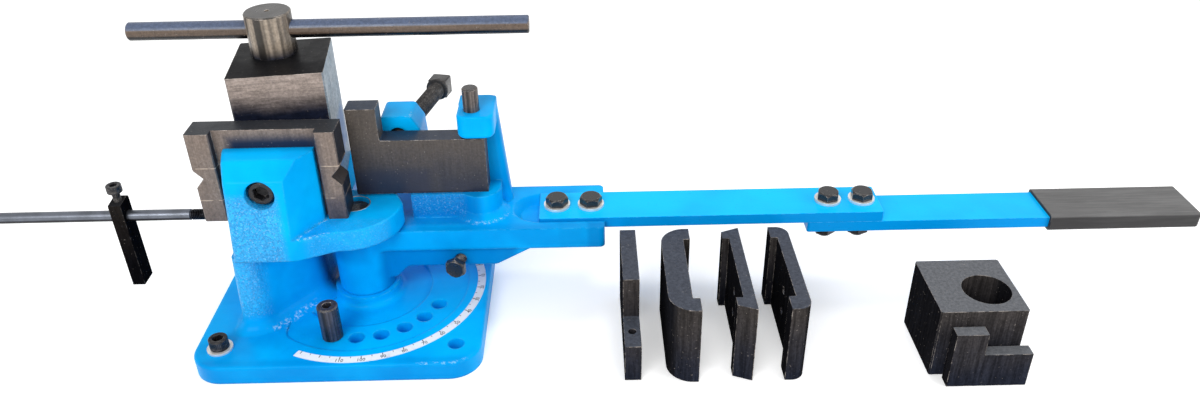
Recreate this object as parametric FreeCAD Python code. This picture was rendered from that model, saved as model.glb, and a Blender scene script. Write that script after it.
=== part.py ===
import FreeCAD, Part
import math
import os

# Bench bender: a cast base carries a channel-shaped bending die, a square
# forming block on an eccentric clamp pin, and a swinging arm with a press
# plate, a bolted lever and adjustable stops.  Spare dies stand beside it.
# Millimetres.  The origin is on the arm's pivot axis, on the bench.
# +X points along the lever at rest, +Y away from the operator, +Z up.

V = FreeCAD.Vector
X_AXIS, Y_AXIS, Z_AXIS = V(1, 0, 0), V(0, 1, 0), V(0, 0, 1)

# ---------------------------------------------------------------- clearances
run_gap = 0.05           # radial, shaft in a bore
slide_gap = 0.2          # between flat faces that move on each other
stud_gap = 0.5           # radial, bolt in a plain hole
seat_gap = 0.3           # between a moving piece and what it comes to rest on

# ---------------------------------------------------------------- base plate
plate_left = -134.0
plate_right = 112.0
plate_front = -112.0
plate_back = 109.0
plate_thick = 17.0
plate_corner_r = 27.0
plate_edge_r = 2.5
bolt_hole_r = 7.0
bolt_x_left = -112.0
bolt_x_right = 90.0
bolt_y_front = -86.0
bolt_y_back = 84.0

# index ring, recess and angle scale, all round the pivot axis
index_r = 74.0
index_hole_r = 7.0
index_hole_deep = 12.0
index_first_deg = -22.6
index_step_deg = 16.44
index_count = 6
ring_outer_r = 92.5
ring_inner_r = 58.0
ring_deep = 1.0
pocket_deep = 3.0
ring_left = -61.0
ring_back = 46.0
ring_corner_r = 14.0
scale_inner_r = 101.0
scale_outer_r = 108.3
scale_thick = 0.6
scale_from_deg = -115.5
scale_to_deg = 21.0

# ---------------------------------------------------------------- pivot
pivot_r = 12.0
pivot_floor = 4.0
pivot_recess = 4.0
bush_wall = 3.0
bush_long = 20.0
boss_r = 29.5
boss_high = 7.5
boss_root_r = 6.0
washer_r = 21.5
skirt_gap = 0.3
low_washer_thick = 2.4
top_washer_thick = 2.1
grub_r = 4.0
grub_long = 10.0

# ---------------------------------------------------------------- die table
table_top = 107.5
table_thick = 19.5
table_front = -60.0
table_back = 100.0
table_inset = 1.5
table_right = -8.0
nose_r = 45.7
nose_mid_x = -4.4
nose_blend_r = 20.0
nose_clear = 1.2          # radial, arm's ledge round the nose
slab_corner_r = 28.0
nose_back = 25.0
nose_past = 20.0
nose_side = ((60.0, -42.0), (33.5, 18.0, 6.0), (20.0, 25.0, 5.0))
slab_step = 7.0
slab_past = 3.0
slab_back_r = 8.0
table_rim_r = 1.2
column_front = -57.5
column_back = 62.0
column_right = -40.0
column_taper = 4.5
column_front_flat = 14.7
column_bevel_y = 59.4
column_foot_r = 13.0
column_foot_rings = 6
column_draft = 6.0
column_side_share = 0.45
column_corner_r = (5.0, 14.0, 20.0, 8.0)
column_corner_grow = (0.5, 0.8, 1.0, 1.0)
column_bevel_share = 0.6
rear_rib_thick = 26.0
rear_rib_low = 34.0

# ---------------------------------------------------------------- bending die
die_wide = 123.0
die_deep = 25.0
die_high = 83.7
die_right = -1.5
die_back = 0.5
lip_left = 20.0
lip_right = 17.0
channel_deep = 7.5
vee_wide = 18.0
vee_deep = 8.0
die_edge = 1.0

# ---------------------------------------------------------------- head casting
head_gap_left = 1.5
head_gap_right = 3.0
head_high = 66.9
head_top_deep = 22.0
head_slope_drop = 13.4
head_face = -53.5
head_bevel_wide = 22.5
head_bevel_deep = 29.0
head_edge_r = 4.0
head_taper = 11.0
head_draft = 6.0
head_foot_out = 1.0
head_bevel_spread = 3.0
head_cut_past = 12.0
head_back_land = 4.0

# socket screw that holds the bending die
die_screw_r = 7.0
die_screw_head_r = 10.5
die_screw_head_high = 14.0
die_screw_socket = 12.0
die_screw_bite = 14.0
die_screw_bore_r = 12.3
die_screw_sunk = 3.0

# ---------------------------------------------------------------- forming block
block_side = 80.0
block_high = 118.0
block_turn_deg = 7.35
block_bore_left = 33.6
block_bore_front = 54.7
block_edge = 1.2
clamp_x = -67.0
clamp_y = 63.5
clamp_throw = 3.0
clamp_r = 20.0
clamp_head_high = 37.5
journal_r = 16.5
journal_long = 55.0
journal_wall = 12.0
centre_r = 2.2
t_bar_r = 8.0
t_bar_left = 122.5
t_bar_right = 225.0
t_bar_drop = 16.5

# ---------------------------------------------------------------- swing arm
arm_thick = 20.5
arm_front = -13.7
arm_back = 61.0
arm_end = 220.5
arm_corner_r = 5.0
arm_bend_x = 132.0
arm_bend_r = 30.0
arm_waist_x = 108.0
arm_waist_r = 16.0
arm_shoulder_x = 28.0
arm_shoulder_r = 12.0
arm_behind_pillar = 3.0
hub_back_r = 8.0
hub_r = 25.0
hub_wall_min = 2.0
hub_clear = 6.0
hub_soft_r = 16.0
rib_front = -9.0
rib_thick = 18.0
rib_low = 45.5
rib_near = 41.0
rib_far = 122.0
rib_end = 166.0
rib_root = 29.5
rib_rise = 6.5
rib_blend_r = 8.0
rib_bend_r = 9.0
rib_root_r = 4.0
ledge_start = 47.6
ledge_front = 9.0
pocket_drop = 8.0
pocket_side_gap = 2.0
pocket_slope = 7.0

# clevis for the press plate's pin
pin_x = 107.0
pin_y = 21.5
pin_r = 7.0
pin_stand_out = 21.0
pin_deep = 18.0
lug_high = 21.4
lug_gap = 2.5
lug_left = 12.5
lug_right = 19.6
lug_front = 16.0
lug_front_r = 9.0
lug_back_r = 2.0
lug_low_r = 4.0
lug_top_r = 2.0
wall_thick = 18.0
wall_flare = 9.5
wall_edge_r = 7.0
boss_offset = 2.0
boss_foot = 7.0
boss_foot_sunk = 0.5
boss_front_r = 18.5

# pillar for the press screw
pillar_thick = 32.0
pillar_top = 175.6
web_thick = 12.0
web_inset = 10.0
ledge_overlap = 6.0
pillar_foot_x = 78.0
pillar_rise = ((68.0, 122.0, 20.0), (59.5, 145.0, 10.0), (58.5, 163.0, 6.0))
pillar_fall = ((22.0, 140.0, 10.0), (37.5, 113.0, 10.0))
pillar_top_left = 24.0
pillar_top_right = 51.0
pillar_top_r = 4.0
web_top = 128.0

# ---------------------------------------------------------------- press plate
press_left = -0.3
press_long = 117.3
press_thick = 19.0
press_front = 12.0
press_low = 110.0
press_high = 83.5
press_tab = 26.3
press_step = 53.2
press_edge = 0.8
step_corner_r = 1.5

# press screw, horizontal, turned in plan from the Y axis
screw_x = 38.0
screw_z = 157.0
screw_turn_deg = 13.0
screw_r = 8.0
screw_long = 99.0
screw_head_side = 18.0
screw_head_high = 16.0
screw_collar_r = 11.0
screw_collar_high = 3.0
screw_tip_bevel = 2.5
screw_head_round = 1.25   # rounding circle over half the square's side
screw_head_r = 3.0

# ---------------------------------------------------------------- stops
stop_pin_r = 9.0
stop_pin_high = 34.0
stop_spigot_long = 10.0
stop_socket = 8.0
stop_socket_deep = 10.0
stop_ring_cut = 0.8
stop_bolt_x = 85.5
stop_bolt_y = -27.2
stop_bolt_z = 52.5
stop_bolt_turn_deg = 12.0
stop_bolt_r = 5.0
stop_bolt_flats = 17.0
stop_bolt_head = 6.4
stop_bolt_long = 45.0
stop_nut_high = 8.0

# ---------------------------------------------------------------- lever
bar_wide = 45.0
bar_thick = 10.0
bar_y = 22.0
inner_bar_start = 161.5
inner_bar_end = 473.0
outer_bar_start = 405.0
outer_bar_end = 752.0
bar_end_r = 2.0
fork_bolt_first = 177.5
joint_bolt_first = 426.5
lever_bolt_pitch = 31.0
lever_bolt_r = 6.0
lever_bolt_flats = 18.0
lever_bolt_head = 7.5
lever_washer_r = 12.0
lever_washer_thick = 2.5
lever_nut_high = 10.4
lever_bolt_proud = 3.0
bolt_spin_step_deg = 8.0
nut_spin_step_deg = 11.0
grip_start = 625.5
grip_end = 763.0
grip_wall = 2.9
grip_corner_r = 3.0
grip_end_r = 2.4

# ---------------------------------------------------------------- length stop
rod_r = 5.0
rod_y = 4.0
rod_below_table = 10.0
rod_out = 280.0
rod_in = 22.0
stop_bar_x = -210.0
stop_bar_wide = 11.0
stop_bar_deep = 18.0
stop_bar_up = 15.5
stop_bar_down = 69.5
bar_screw_r = 3.5
bar_screw_head_r = 6.5
bar_screw_head_high = 7.0
bar_screw_proud = 7.5
bar_screw_socket = 6.0

# ---------------------------------------------------------------- base screw
base_screw_r = 5.0
base_screw_head_r = 8.0
base_screw_head_high = 10.0
base_screw_socket = 8.0
base_screw_short = 1.5
base_washer_r = 10.8
base_washer_thick = 2.0

# ---------------------------------------------------------------- spare dies
spare_wide = 120.0
spare_high = 75.0
spare_back = -2.5
spare_channel = 86.0
spare_channel_deep = 6.0
spare_plate_x = 234.0
spare_plate_thick = 14.0
spare_plate_long = 116.0
spare_plate_ledge = 40.0
spare_plate_ledge_high = 36.0
thick_die_x = 270.0
thick_die_deep = 26.0
thick_die_nose_r = 22.0
sharp_die_x = 325.0
sharp_die_deep = 16.0
sharp_die_slant = 7.0
round_die_x = 368.0
round_die_deep = 17.0
round_die_r = 11.0
spare_hole_r = 3.4       # M8 core hole
spare_hole_pitch = 22.0
spare_block_x = 490.0
spare_block_front = -120.0
spare_block_side = 72.0
spare_block_high = 66.0
spare_block_off_x = 11.0
spare_block_off_y = -6.5
small_plate_x = 500.0
small_plate_gap = 4.0
small_plate_long = 66.0
small_plate_thick = 11.0
small_plate_high = 54.0
small_plate_tab = 26.0
small_plate_step = 33.0

# ---------------------------------------------------------------- derived
table_under = table_top - table_thick
arm_top = table_under - top_washer_thick - 2 * slide_gap
arm_under = arm_top - arm_thick
boss_top = plate_thick + boss_high
hub_under = boss_top + skirt_gap
hub_recess = boss_top + low_washer_thick + 2 * slide_gap
pivot_top = table_top - pivot_recess
die_left = die_right - die_wide
die_front = die_back - die_deep
head_left = die_left + lip_left + head_gap_left
head_right = die_right - lip_right - head_gap_right
head_back = die_front + channel_deep
head_top = table_top + head_high
table_left = head_left + table_inset
column_bevel_x = column_right - table_left - column_taper - column_front_flat
die_mid_x = (die_left + lip_left + die_right - lip_right) / 2
die_mid_z = table_top + die_high / 2
block_low = table_top + slide_gap
block_top = block_low + block_high
bore_x = clamp_x
bore_y = clamp_y + clamp_throw
clamp_top = block_top + clamp_head_high
t_bar_z = clamp_top - t_bar_drop
press_back = press_front + press_thick
ledge_top = press_low - slide_gap
lug_under = press_low + press_step + lug_gap
lug_top = lug_under + lug_high
wall_front = press_back + 2.0
wall_back = wall_front + wall_thick
pillar_front = press_back + 2.0
pillar_back = pillar_front + pillar_thick
bar_low = arm_top - pocket_drop
inner_bar_top = bar_low + bar_thick
outer_bar_top = bar_low
outer_bar_low = outer_bar_top - bar_thick
rod_z = table_top - rod_below_table
nose_join_x = table_right
nose_join_y = math.sqrt(nose_r ** 2 - (nose_join_x - nose_mid_x) ** 2)
ring_z = plate_thick - ring_deep
pocket_z = plate_thick - pocket_deep


# ================================================================ helpers
def box(x0, x1, y0, y1, z0, z1):
    """Block between two corners."""
    return Part.makeBox(x1 - x0, y1 - y0, z1 - z0, V(x0, y0, z0))


def rod(x, y, z0, z1, r):
    """Upright cylinder."""
    return Part.makeCylinder(r, z1 - z0, V(x, y, z0), Z_AXIS)


def bar_along(start, direction, length, r):
    """Cylinder from a point along a direction."""
    return Part.makeCylinder(r, length, start, direction)


def turned(angle_deg):
    """Horizontal direction, turned from +Y towards +X."""
    a = math.radians(angle_deg)
    return V(math.sin(a), math.cos(a), 0)


def polar(r, angle_deg, z):
    """Point at a radius and angle round the pivot axis."""
    a = math.radians(angle_deg)
    return V(r * math.cos(a), r * math.sin(a), z)


def in_plane(axis, a, b, c):
    """Point with in-plane coordinates a, b and height c along the axis."""
    if axis == "z":
        return V(a, b, c)
    if axis == "y":
        return V(a, c, b)
    return V(c, a, b)


def outline(points, axis, level):
    """Closed wire through points (a, b) or (a, b, corner radius)."""
    starts, ends, edges = [], [], []
    count = len(points)
    for i in range(count):
        here = in_plane(axis, points[i][0], points[i][1], level)
        last = in_plane(axis, points[i - 1][0], points[i - 1][1], level)
        step = points[(i + 1) % count]
        after = in_plane(axis, step[0], step[1], level)
        r = points[i][2] if len(points[i]) > 2 else 0.0
        if r == 0.0:
            starts.append(here)
            ends.append(here)
            continue
        back = (last - here).normalize()
        on = (after - here).normalize()
        half = back.getAngle(on) / 2
        reach = r / math.tan(half)
        p, q = here + back * reach, here + on * reach
        middle = (back + on).normalize()
        centre = here + middle * (r / math.sin(half))
        starts.append(p)
        ends.append(q)
        edges.append(Part.Arc(p, centre - middle * r, q).toShape())
    for i in range(count):
        if starts[i].distanceToPoint(ends[i - 1]) > 1e-6:
            edges.append(Part.LineSegment(ends[i - 1], starts[i]).toShape())
    return Part.Wire(Part.__sortEdges__(edges))


def prism(points, axis, start, end):
    """Straight solid with an outline, between two levels along an axis."""
    face = Part.Face(outline(points, axis, start))
    way = {"x": X_AXIS, "y": Y_AXIS, "z": Z_AXIS}[axis]
    return face.extrude(way * (end - start))


def leaning_prism(points, start, end, shift):
    """Upright solid with an outline in plan, moved in X by a shift from bottom to top."""
    return Part.Face(outline(points, "z", start)).extrude(V(shift, 0, end - start))


def hexagon(centre, direction, flats, length, spin_deg=0.0):
    """Hexagonal bar from a point along a direction."""
    r = flats / math.sqrt(3)
    corners = []
    for i in range(7):
        a = math.radians(60 * i + spin_deg)
        corners.append(V(r * math.cos(a), r * math.sin(a), 0))
    face = Part.Face(Part.makePolygon(corners))
    solid = face.extrude(V(0, 0, length))
    solid.Placement = FreeCAD.Placement(centre, FreeCAD.Rotation(Z_AXIS, direction))
    return solid


def washer(centre, direction, outer_r, inner_r, thick):
    """Flat ring."""
    return bar_along(centre, direction, thick, outer_r).cut(
        bar_along(centre, direction, thick, inner_r))


def socket_screw(seat, direction, r, head_r, head_high, socket, shank):
    """Cylindrical-head screw; seat is under the head, direction is the way it is driven."""
    head = bar_along(seat, direction * -1, head_high, head_r)
    rim = [e for e in head.Edges if len(e.Vertexes) == 1
           and abs((e.CenterOfMass - seat).dot(direction) + head_high) < 1e-6]
    head = head.makeChamfer(head_r * 0.08, rim)
    key = hexagon(seat - direction * head_high, direction, socket, head_high * 0.55)
    body = bar_along(seat, direction, shank, r)
    return head.cut(key).fuse(body)


def hex_bolt(seat, direction, r, flats, head_high, shank, spin_deg=0.0):
    """Hexagon-head bolt; seat is under the head, direction is the way it is driven."""
    head = hexagon(seat, direction * -1, flats, head_high, spin_deg)
    dome_r = flats * 0.575
    dome = bar_along(seat, direction * -1, head_high, dome_r)
    rim = [e for e in dome.Edges if len(e.Vertexes) == 1
           and abs((e.CenterOfMass - seat).dot(direction) + head_high) < 1e-6]
    dome = dome.makeChamfer(dome_r - flats * 0.47, rim)
    return head.common(dome).fuse(bar_along(seat, direction, shank, r))


def hex_nut(seat, direction, r, flats, high, spin_deg=0.0):
    """Hexagon nut from its seat along a direction."""
    return hexagon(seat, direction, flats, high, spin_deg).cut(
        bar_along(seat, direction, high, r))


def fused(shapes):
    """One clean solid from overlapping ones."""
    return shapes[0].multiFuse(shapes[1:]).removeSplitter()


def edges_near(shape, test):
    """Edges whose middle passes a test."""
    return [e for e in shape.Edges if test(e)]


def mid(e):
    """Middle point of an edge."""
    return e.valueAt((e.FirstParameter + e.LastParameter) / 2)


def upright(e):
    """True for a straight edge along Z."""
    if len(e.Vertexes) != 2:
        return False
    run = e.Vertexes[1].Point - e.Vertexes[0].Point
    return math.hypot(run.x, run.y) < 1e-6 and abs(e.Length - abs(run.z)) < 1e-6


# ================================================================ base casting
def base_plate():
    corners = [(plate_left, plate_front), (plate_right, plate_front),
               (plate_right, plate_back), (plate_left, plate_back)]
    plate = prism([(x, y, plate_corner_r) for x, y in corners], "z", 0, plate_thick)
    rim = edges_near(plate, lambda e: abs(mid(e).z - plate_thick) < 1e-6)
    plate = plate.makeFillet(plate_edge_r, rim)
    window = prism([(ring_left, -ring_outer_r - 5, 1), (ring_outer_r + 5, -ring_outer_r - 5, 1),
                    (ring_outer_r + 5, ring_back, 1), (ring_left, ring_back, 1)],
                   "z", pocket_z, plate_thick + 1)
    disc = rod(0, 0, pocket_z, plate_thick + 1, ring_outer_r)
    field = disc.common(window)
    field = field.makeFillet(ring_corner_r, edges_near(field, lambda e: upright(e) and mid(e).y < 0
                                                       and e.Length > 1 and mid(e).x < 0
                                                       and abs(mid(e).x - ring_left) < 2))
    ring = field.common(box(-200, 200, -200, 200, ring_z, plate_thick + 1))
    inner = field.common(rod(0, 0, pocket_z, plate_thick + 1, ring_inner_r))
    plate = plate.cut(ring).cut(inner)
    plate = plate.fuse(rod(0, 0, 0, boss_top, boss_r))
    root = rod(0, 0, pocket_z, pocket_z + boss_root_r, boss_r + boss_root_r)
    root = root.cut(Part.makeTorus(boss_r + boss_root_r, boss_root_r,
                                   V(0, 0, pocket_z + boss_root_r), Z_AXIS))
    return plate.fuse(root)


def column_plan(grow, lean):
    """Column outline in plan, grown by its foot and by its draft."""
    out = grow + lean
    right, left = column_right + out, table_left - grow - lean * column_side_share
    front, back = column_front - out, column_back + out
    bend = out * column_bevel_share
    radii = [r + out * share for r, share in zip(column_corner_r, column_corner_grow)]
    return [(left + column_taper, front, radii[0]),
            (right - column_bevel_x - bend, front, radii[1]),
            (right, front + column_bevel_y + bend, radii[2]), (right, back, radii[3]),
            (left, back, radii[3])]


def column_levels():
    """Foot, draft and height of each ring of the column, from the plate up."""
    foot_z = pocket_z - 1
    high = table_under + 2 - foot_z
    levels = [(column_foot_r, column_draft, foot_z)]
    for i in range(column_foot_rings + 1):
        a = math.radians(90.0 * i / column_foot_rings)
        rise = ring_z - foot_z + column_foot_r * (1 - math.cos(a))
        levels.append((column_foot_r * (1 - math.sin(a)), column_draft * (1 - rise / high),
                       foot_z + rise))
    levels.append((0.0, 0.0, table_under + 2))
    return levels


def column():
    rings = [outline(column_plan(grow, lean), "z", z) for grow, lean, z in column_levels()]
    body = Part.makeLoft(rings, True, True)
    rib_y0, rib_y1 = column_back - 5, table_back - 4
    rib = prism([(rib_y0, rear_rib_low), (rib_y0, table_under + 2), (rib_y1, table_under + 2)],
                "x", clamp_x - rear_rib_thick / 2, clamp_x + rear_rib_thick / 2)
    boss = rod(clamp_x, clamp_y, table_top - journal_long - 8, table_under + 2,
               journal_r + journal_wall)
    return [body, rib, boss]


def head_front_y(z):
    """Y of the head's leaning front face at a height."""
    lean_top = head_top - head_slope_drop
    return table_front + (head_face - table_front) * (z - table_under) / (lean_top - table_under)


def table():
    corner_x = head_right - head_bevel_wide
    inner_front = table_front + slab_step
    plan = [(table_left, head_back - slab_step), (head_left + head_taper + slab_past, inner_front),
            (corner_x - 2 * slab_step, inner_front), (corner_x - slab_step, table_front),
            (corner_x + slab_past, table_front, slab_corner_r), (nose_join_x, -nose_join_y),
            (table_right, table_back, slab_back_r), (table_left, table_back, slab_back_r)]
    slab = prism(plan, "z", table_under, table_top)
    low, high = table_under - 5, table_top + 5
    lean = prism([(table_front - 30, low), (head_front_y(low), low), (head_front_y(high), high),
                  (table_front - 30, high)], "x", table_left - 5, nose_join_x)
    slab = slab.cut(lean)
    reach = nose_r + nose_past
    nose_plan = [(nose_join_x - 5, -reach), (reach, -reach), *nose_side,
                 (nose_join_x - 5, nose_back)]
    nose = prism(nose_plan, "z", table_under, table_top)
    nose = nose.common(rod(nose_mid_x, 0, table_under, table_top, nose_r))
    slab = fused([slab, nose])
    join = edges_near(slab, lambda e: upright(e) and abs(mid(e).x - nose_join_x) < 0.01
                      and mid(e).y < -nose_join_y + 1)
    slab = slab.makeFillet(nose_blend_r, join)
    rim = edges_near(slab, lambda e: abs(mid(e).z - table_top) < 1e-6
                     and mid(e).x > nose_join_x)
    return slab.makeFillet(table_rim_r, rim)


def head():
    low = table_under
    left = head_left - head_foot_out
    side = [(head_back, low), (head_back, head_top), (head_back - head_top_deep, head_top, 5),
            (head_face, head_top - head_slope_drop, 5), (table_front, low)]
    body = prism(side, "x", left, head_right)
    start = head_back - head_back_land
    slope = head_taper / (start - table_front)
    face_slope = (head_face - 1 + head_bevel_deep - table_front) / head_bevel_wide
    past = head_cut_past
    bevel = [(head_right - head_bevel_wide, table_front - 2), (head_right + past, table_front - 2),
             (head_right + past, table_front - 2 + face_slope * (head_bevel_wide + past))]
    taper = [(left - past, head_back + 1), (left, head_back + 1), (left, start),
             (left + slope * (start - table_front + 2), table_front - 2),
             (left - past, table_front - 2)]
    body = body.cut(leaning_prism(bevel, low - 1, head_top + 1, -head_bevel_spread))
    body = body.cut(leaning_prism(taper, low - 1, head_top + 1, head_draft))
    tall = edges_near(body, lambda e: mid(e).x < head_left + head_taper + head_draft + 0.5
                      and mid(e).y < start - 1 and mid(e).z > low + 5)
    return body.makeFillet(head_edge_r, tall)


def base_holes():
    cuts = [rod(0, 0, pivot_floor, table_top + 1, pivot_r + run_gap)]
    for i in range(index_count):
        p = polar(index_r, index_first_deg - index_step_deg * i, ring_z - index_hole_deep)
        cuts.append(rod(p.x, p.y, p.z, plate_thick + 1, index_hole_r))
    for x in (bolt_x_left, bolt_x_right):
        for y in (bolt_y_front, bolt_y_back):
            cuts.append(rod(x, y, -1, plate_thick + 1, bolt_hole_r))
    cuts.append(rod(clamp_x, clamp_y, table_top - journal_long - 10, table_top + 1,
                    journal_r + run_gap))
    seat_y = head_face + die_screw_head_high + die_screw_sunk
    cuts.append(bar_along(V(die_mid_x, table_front - 5, die_mid_z), Y_AXIS,
                          seat_y - table_front + 5, die_screw_bore_r))
    cuts.append(bar_along(V(die_mid_x, seat_y - 1, die_mid_z), Y_AXIS, 60,
                          die_screw_r + stud_gap))
    cuts.append(bar_along(V(head_left - 20, rod_y, rod_z), X_AXIS, 20 + rod_in + 3,
                          rod_r + run_gap))
    cuts.append(bar_along(V(0, pivot_r, table_top - table_thick / 2), Y_AXIS, 40, grub_r))
    return cuts


def base_casting():
    shape = fused([base_plate()] + column() + [table(), head()])
    clear_hub = rod(0, 0, boss_top, table_under, hub_r + hub_clear)
    shape = shape.cut(clear_hub)
    for tool in base_holes():
        shape = shape.cut(tool)
    return shape.removeSplitter()


def angle_scale():
    width = scale_to_deg - scale_from_deg
    outer = Part.makeCylinder(scale_outer_r, scale_thick, V(0, 0, plate_thick), Z_AXIS, width)
    inner = Part.makeCylinder(scale_inner_r, scale_thick, V(0, 0, plate_thick), Z_AXIS, width)
    strip = outer.cut(inner)
    strip.rotate(V(0, 0, 0), Z_AXIS, scale_from_deg)
    return strip


# ================================================================ pivot pieces
def pivot_pin():
    pin = rod(0, 0, pivot_floor, pivot_top, pivot_r)
    rim = edges_near(pin, lambda e: len(e.Vertexes) == 1)
    return pin.makeChamfer(1.0, rim)


def pivot_grub():
    z = table_top - table_thick / 2
    key = hexagon(V(0, pivot_r + run_gap + grub_long, z), Y_AXIS * -1, grub_r, 4)
    return bar_along(V(0, pivot_r + run_gap, z), Y_AXIS, grub_long, grub_r).cut(key)


def lower_washer():
    return washer(V(0, 0, boss_top + slide_gap), Z_AXIS, washer_r, pivot_r + 2 * run_gap,
                  low_washer_thick)


def upper_washer():
    return washer(V(0, 0, arm_top + slide_gap), Z_AXIS, washer_r, pivot_r + 2 * run_gap,
                  top_washer_thick)


def hub_bushes():
    made = []
    for z in (hub_recess, arm_top - bush_long):
        made.append(washer(V(0, 0, z), Z_AXIS, pivot_r + bush_wall, pivot_r + run_gap, bush_long))
    return Part.makeCompound(made)


# ================================================================ bending die
def channel_die(width, deep, high, left_lip, right_lip, channel):
    """Channel-section die: back on y=0, channel open to -Y, left end on x=0."""
    body = box(0, width, -deep, 0, 0, high)
    return body.cut(box(left_lip, width - right_lip, -deep - 1, -deep + channel, -1, high + 1))


def bending_die():
    die = channel_die(die_wide, die_deep, die_high, lip_left, lip_right, channel_deep)
    tall = edges_near(die, lambda e: upright(e) and abs(mid(e).y + die_deep) < 0.01)
    die = die.makeChamfer(die_edge, tall)
    half, middle = vee_wide / 2, die_high / 2
    for x, way in ((0, 1), (die_wide, -1)):
        vee = prism([(x - way, middle - half - 1), (x + way * vee_deep, middle),
                     (x - way, middle + half + 1)], "y", -die_deep - 1, 1)
        die = die.cut(vee)
    hole_y = -die_deep + channel_deep
    die = die.cut(bar_along(V(die_mid_x - die_left, hole_y - 1, middle), Y_AXIS,
                            die_screw_bite + 2, die_screw_r + run_gap))
    die.translate(V(die_left, die_back, table_top))
    return die


def die_screw():
    seat_y = head_face + die_screw_head_high + die_screw_sunk
    seat = V(die_mid_x, seat_y, die_mid_z)
    shank = head_back + die_screw_bite - seat_y
    return socket_screw(seat, Y_AXIS, die_screw_r, die_screw_head_r, die_screw_head_high,
                        die_screw_socket, shank)


# ================================================================ forming block
def forming_block():
    block = box(0, block_side, 0, block_side, 0, block_high)
    block = block.makeChamfer(block_edge, edges_near(block, upright))
    block = block.cut(rod(block_bore_left, block_bore_front, -1, block_high + 1,
                          clamp_r + run_gap))
    block.translate(V(bore_x - block_bore_left, bore_y - block_bore_front, block_low))
    block.rotate(V(bore_x, bore_y, 0), Z_AXIS, block_turn_deg)
    return block


def clamp_pin():
    upper = rod(bore_x, bore_y, block_low, clamp_top, clamp_r)
    rim = edges_near(upper, lambda e: len(e.Vertexes) == 1 and mid(e).z > block_top)
    upper = upper.makeChamfer(1.0, rim)
    journal = rod(clamp_x, clamp_y, table_top - journal_long, block_low + 1, journal_r)
    cross = bar_along(V(bore_x - 40, bore_y, t_bar_z), X_AXIS, 80, t_bar_r + run_gap)
    centre = rod(bore_x, bore_y, clamp_top - 3, clamp_top + 1, centre_r)
    return upper.fuse(journal).cut(cross).cut(centre).removeSplitter()


def t_bar():
    length = t_bar_left + t_bar_right
    bar = bar_along(V(bore_x - t_bar_left, bore_y, t_bar_z), X_AXIS, length, t_bar_r)
    rims = edges_near(bar, lambda e: len(e.Vertexes) == 1)
    return bar.makeChamfer(1.0, rims)


# ================================================================ swing arm
def arm_plate():
    """Hub and plate with a soft corner between them."""
    waist_y = pillar_back + arm_behind_pillar
    plan = [(0, arm_front), (arm_end, arm_front, arm_corner_r),
            (arm_end, arm_back, arm_corner_r), (arm_bend_x, arm_back, arm_bend_r),
            (arm_waist_x, waist_y, arm_waist_r), (arm_shoulder_x, waist_y, arm_shoulder_r),
            (0, hub_r - 0.5, hub_back_r)]
    body = prism(plan, "z", arm_under, arm_top).fuse(rod(0, 0, hub_under, arm_top, hub_r))
    corner = edges_near(body, lambda e: upright(e) and abs(mid(e).y - arm_front) < 0.01
                        and mid(e).x < hub_r)
    return body.makeFillet(hub_soft_r, corner)


def arm_rib():
    root_z = hub_recess + rib_rise
    side = [(0, root_z), (rib_root, root_z, rib_root_r), (rib_near, rib_low, rib_bend_r),
            (rib_far, rib_low, rib_bend_r), (rib_end, arm_under + 4), (rib_end, arm_under + 8),
            (0, arm_under + 8)]
    return prism(side, "y", rib_front, rib_front + rib_thick)


def arm_clevis():
    left, right = pin_x - lug_left, pin_x + lug_right
    lug = prism([(left, wall_back, lug_back_r), (left, pin_y - lug_front, lug_front_r),
                 (right, pin_y - lug_front, lug_front_r), (right, wall_back, lug_back_r)],
                "z", lug_under, lug_top)
    lug = lug.makeFillet(lug_low_r, edges_near(lug, lambda e: abs(mid(e).z - lug_under) < 1e-6
                                               and mid(e).y < wall_front))
    lug = lug.makeFillet(lug_top_r, edges_near(lug, lambda e: abs(mid(e).z - lug_top) < 1e-6
                                               and mid(e).y < wall_front))
    wall = prism([(left, arm_top - 2), (right + wall_flare, arm_top - 2), (right, lug_top),
                  (left, lug_top)], "y", wall_front, wall_back)
    corner = edges_near(wall, lambda e: mid(e).x > right - 0.5
                        and e.Length > (lug_top - arm_top) / 2)
    wall = wall.makeFillet(wall_edge_r, corner)
    mid_x = pin_x + boss_offset
    boss = rod(mid_x, pin_y, arm_top - 2, ledge_top, boss_front_r)
    boss = boss.fuse(box(mid_x - boss_front_r, mid_x + boss_front_r, pin_y, wall_front + 2,
                         arm_top - 2, ledge_top))
    foot = Part.makeCone(boss_front_r + boss_foot, boss_front_r, boss_foot,
                         V(mid_x, pin_y, arm_top - boss_foot_sunk), Z_AXIS)
    return [lug, wall, boss, foot]


def arm_ledge():
    far = pin_x + boss_offset - boss_front_r + ledge_overlap
    ledge = box(ledge_start, far, ledge_front, wall_front + 4, arm_top - 2, ledge_top)
    web = box(ledge_start + web_inset, pin_x, wall_front, wall_front + web_thick, arm_top - 2, web_top)
    return [ledge, web]


def arm_pillar():
    side = [(ledge_start, arm_top - 2), (pillar_foot_x, arm_top - 2), *pillar_rise,
            (pillar_top_right, pillar_top, pillar_top_r),
            (pillar_top_left, pillar_top, pillar_top_r), *pillar_fall]
    return prism(side, "y", pillar_front, pillar_back)


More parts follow.
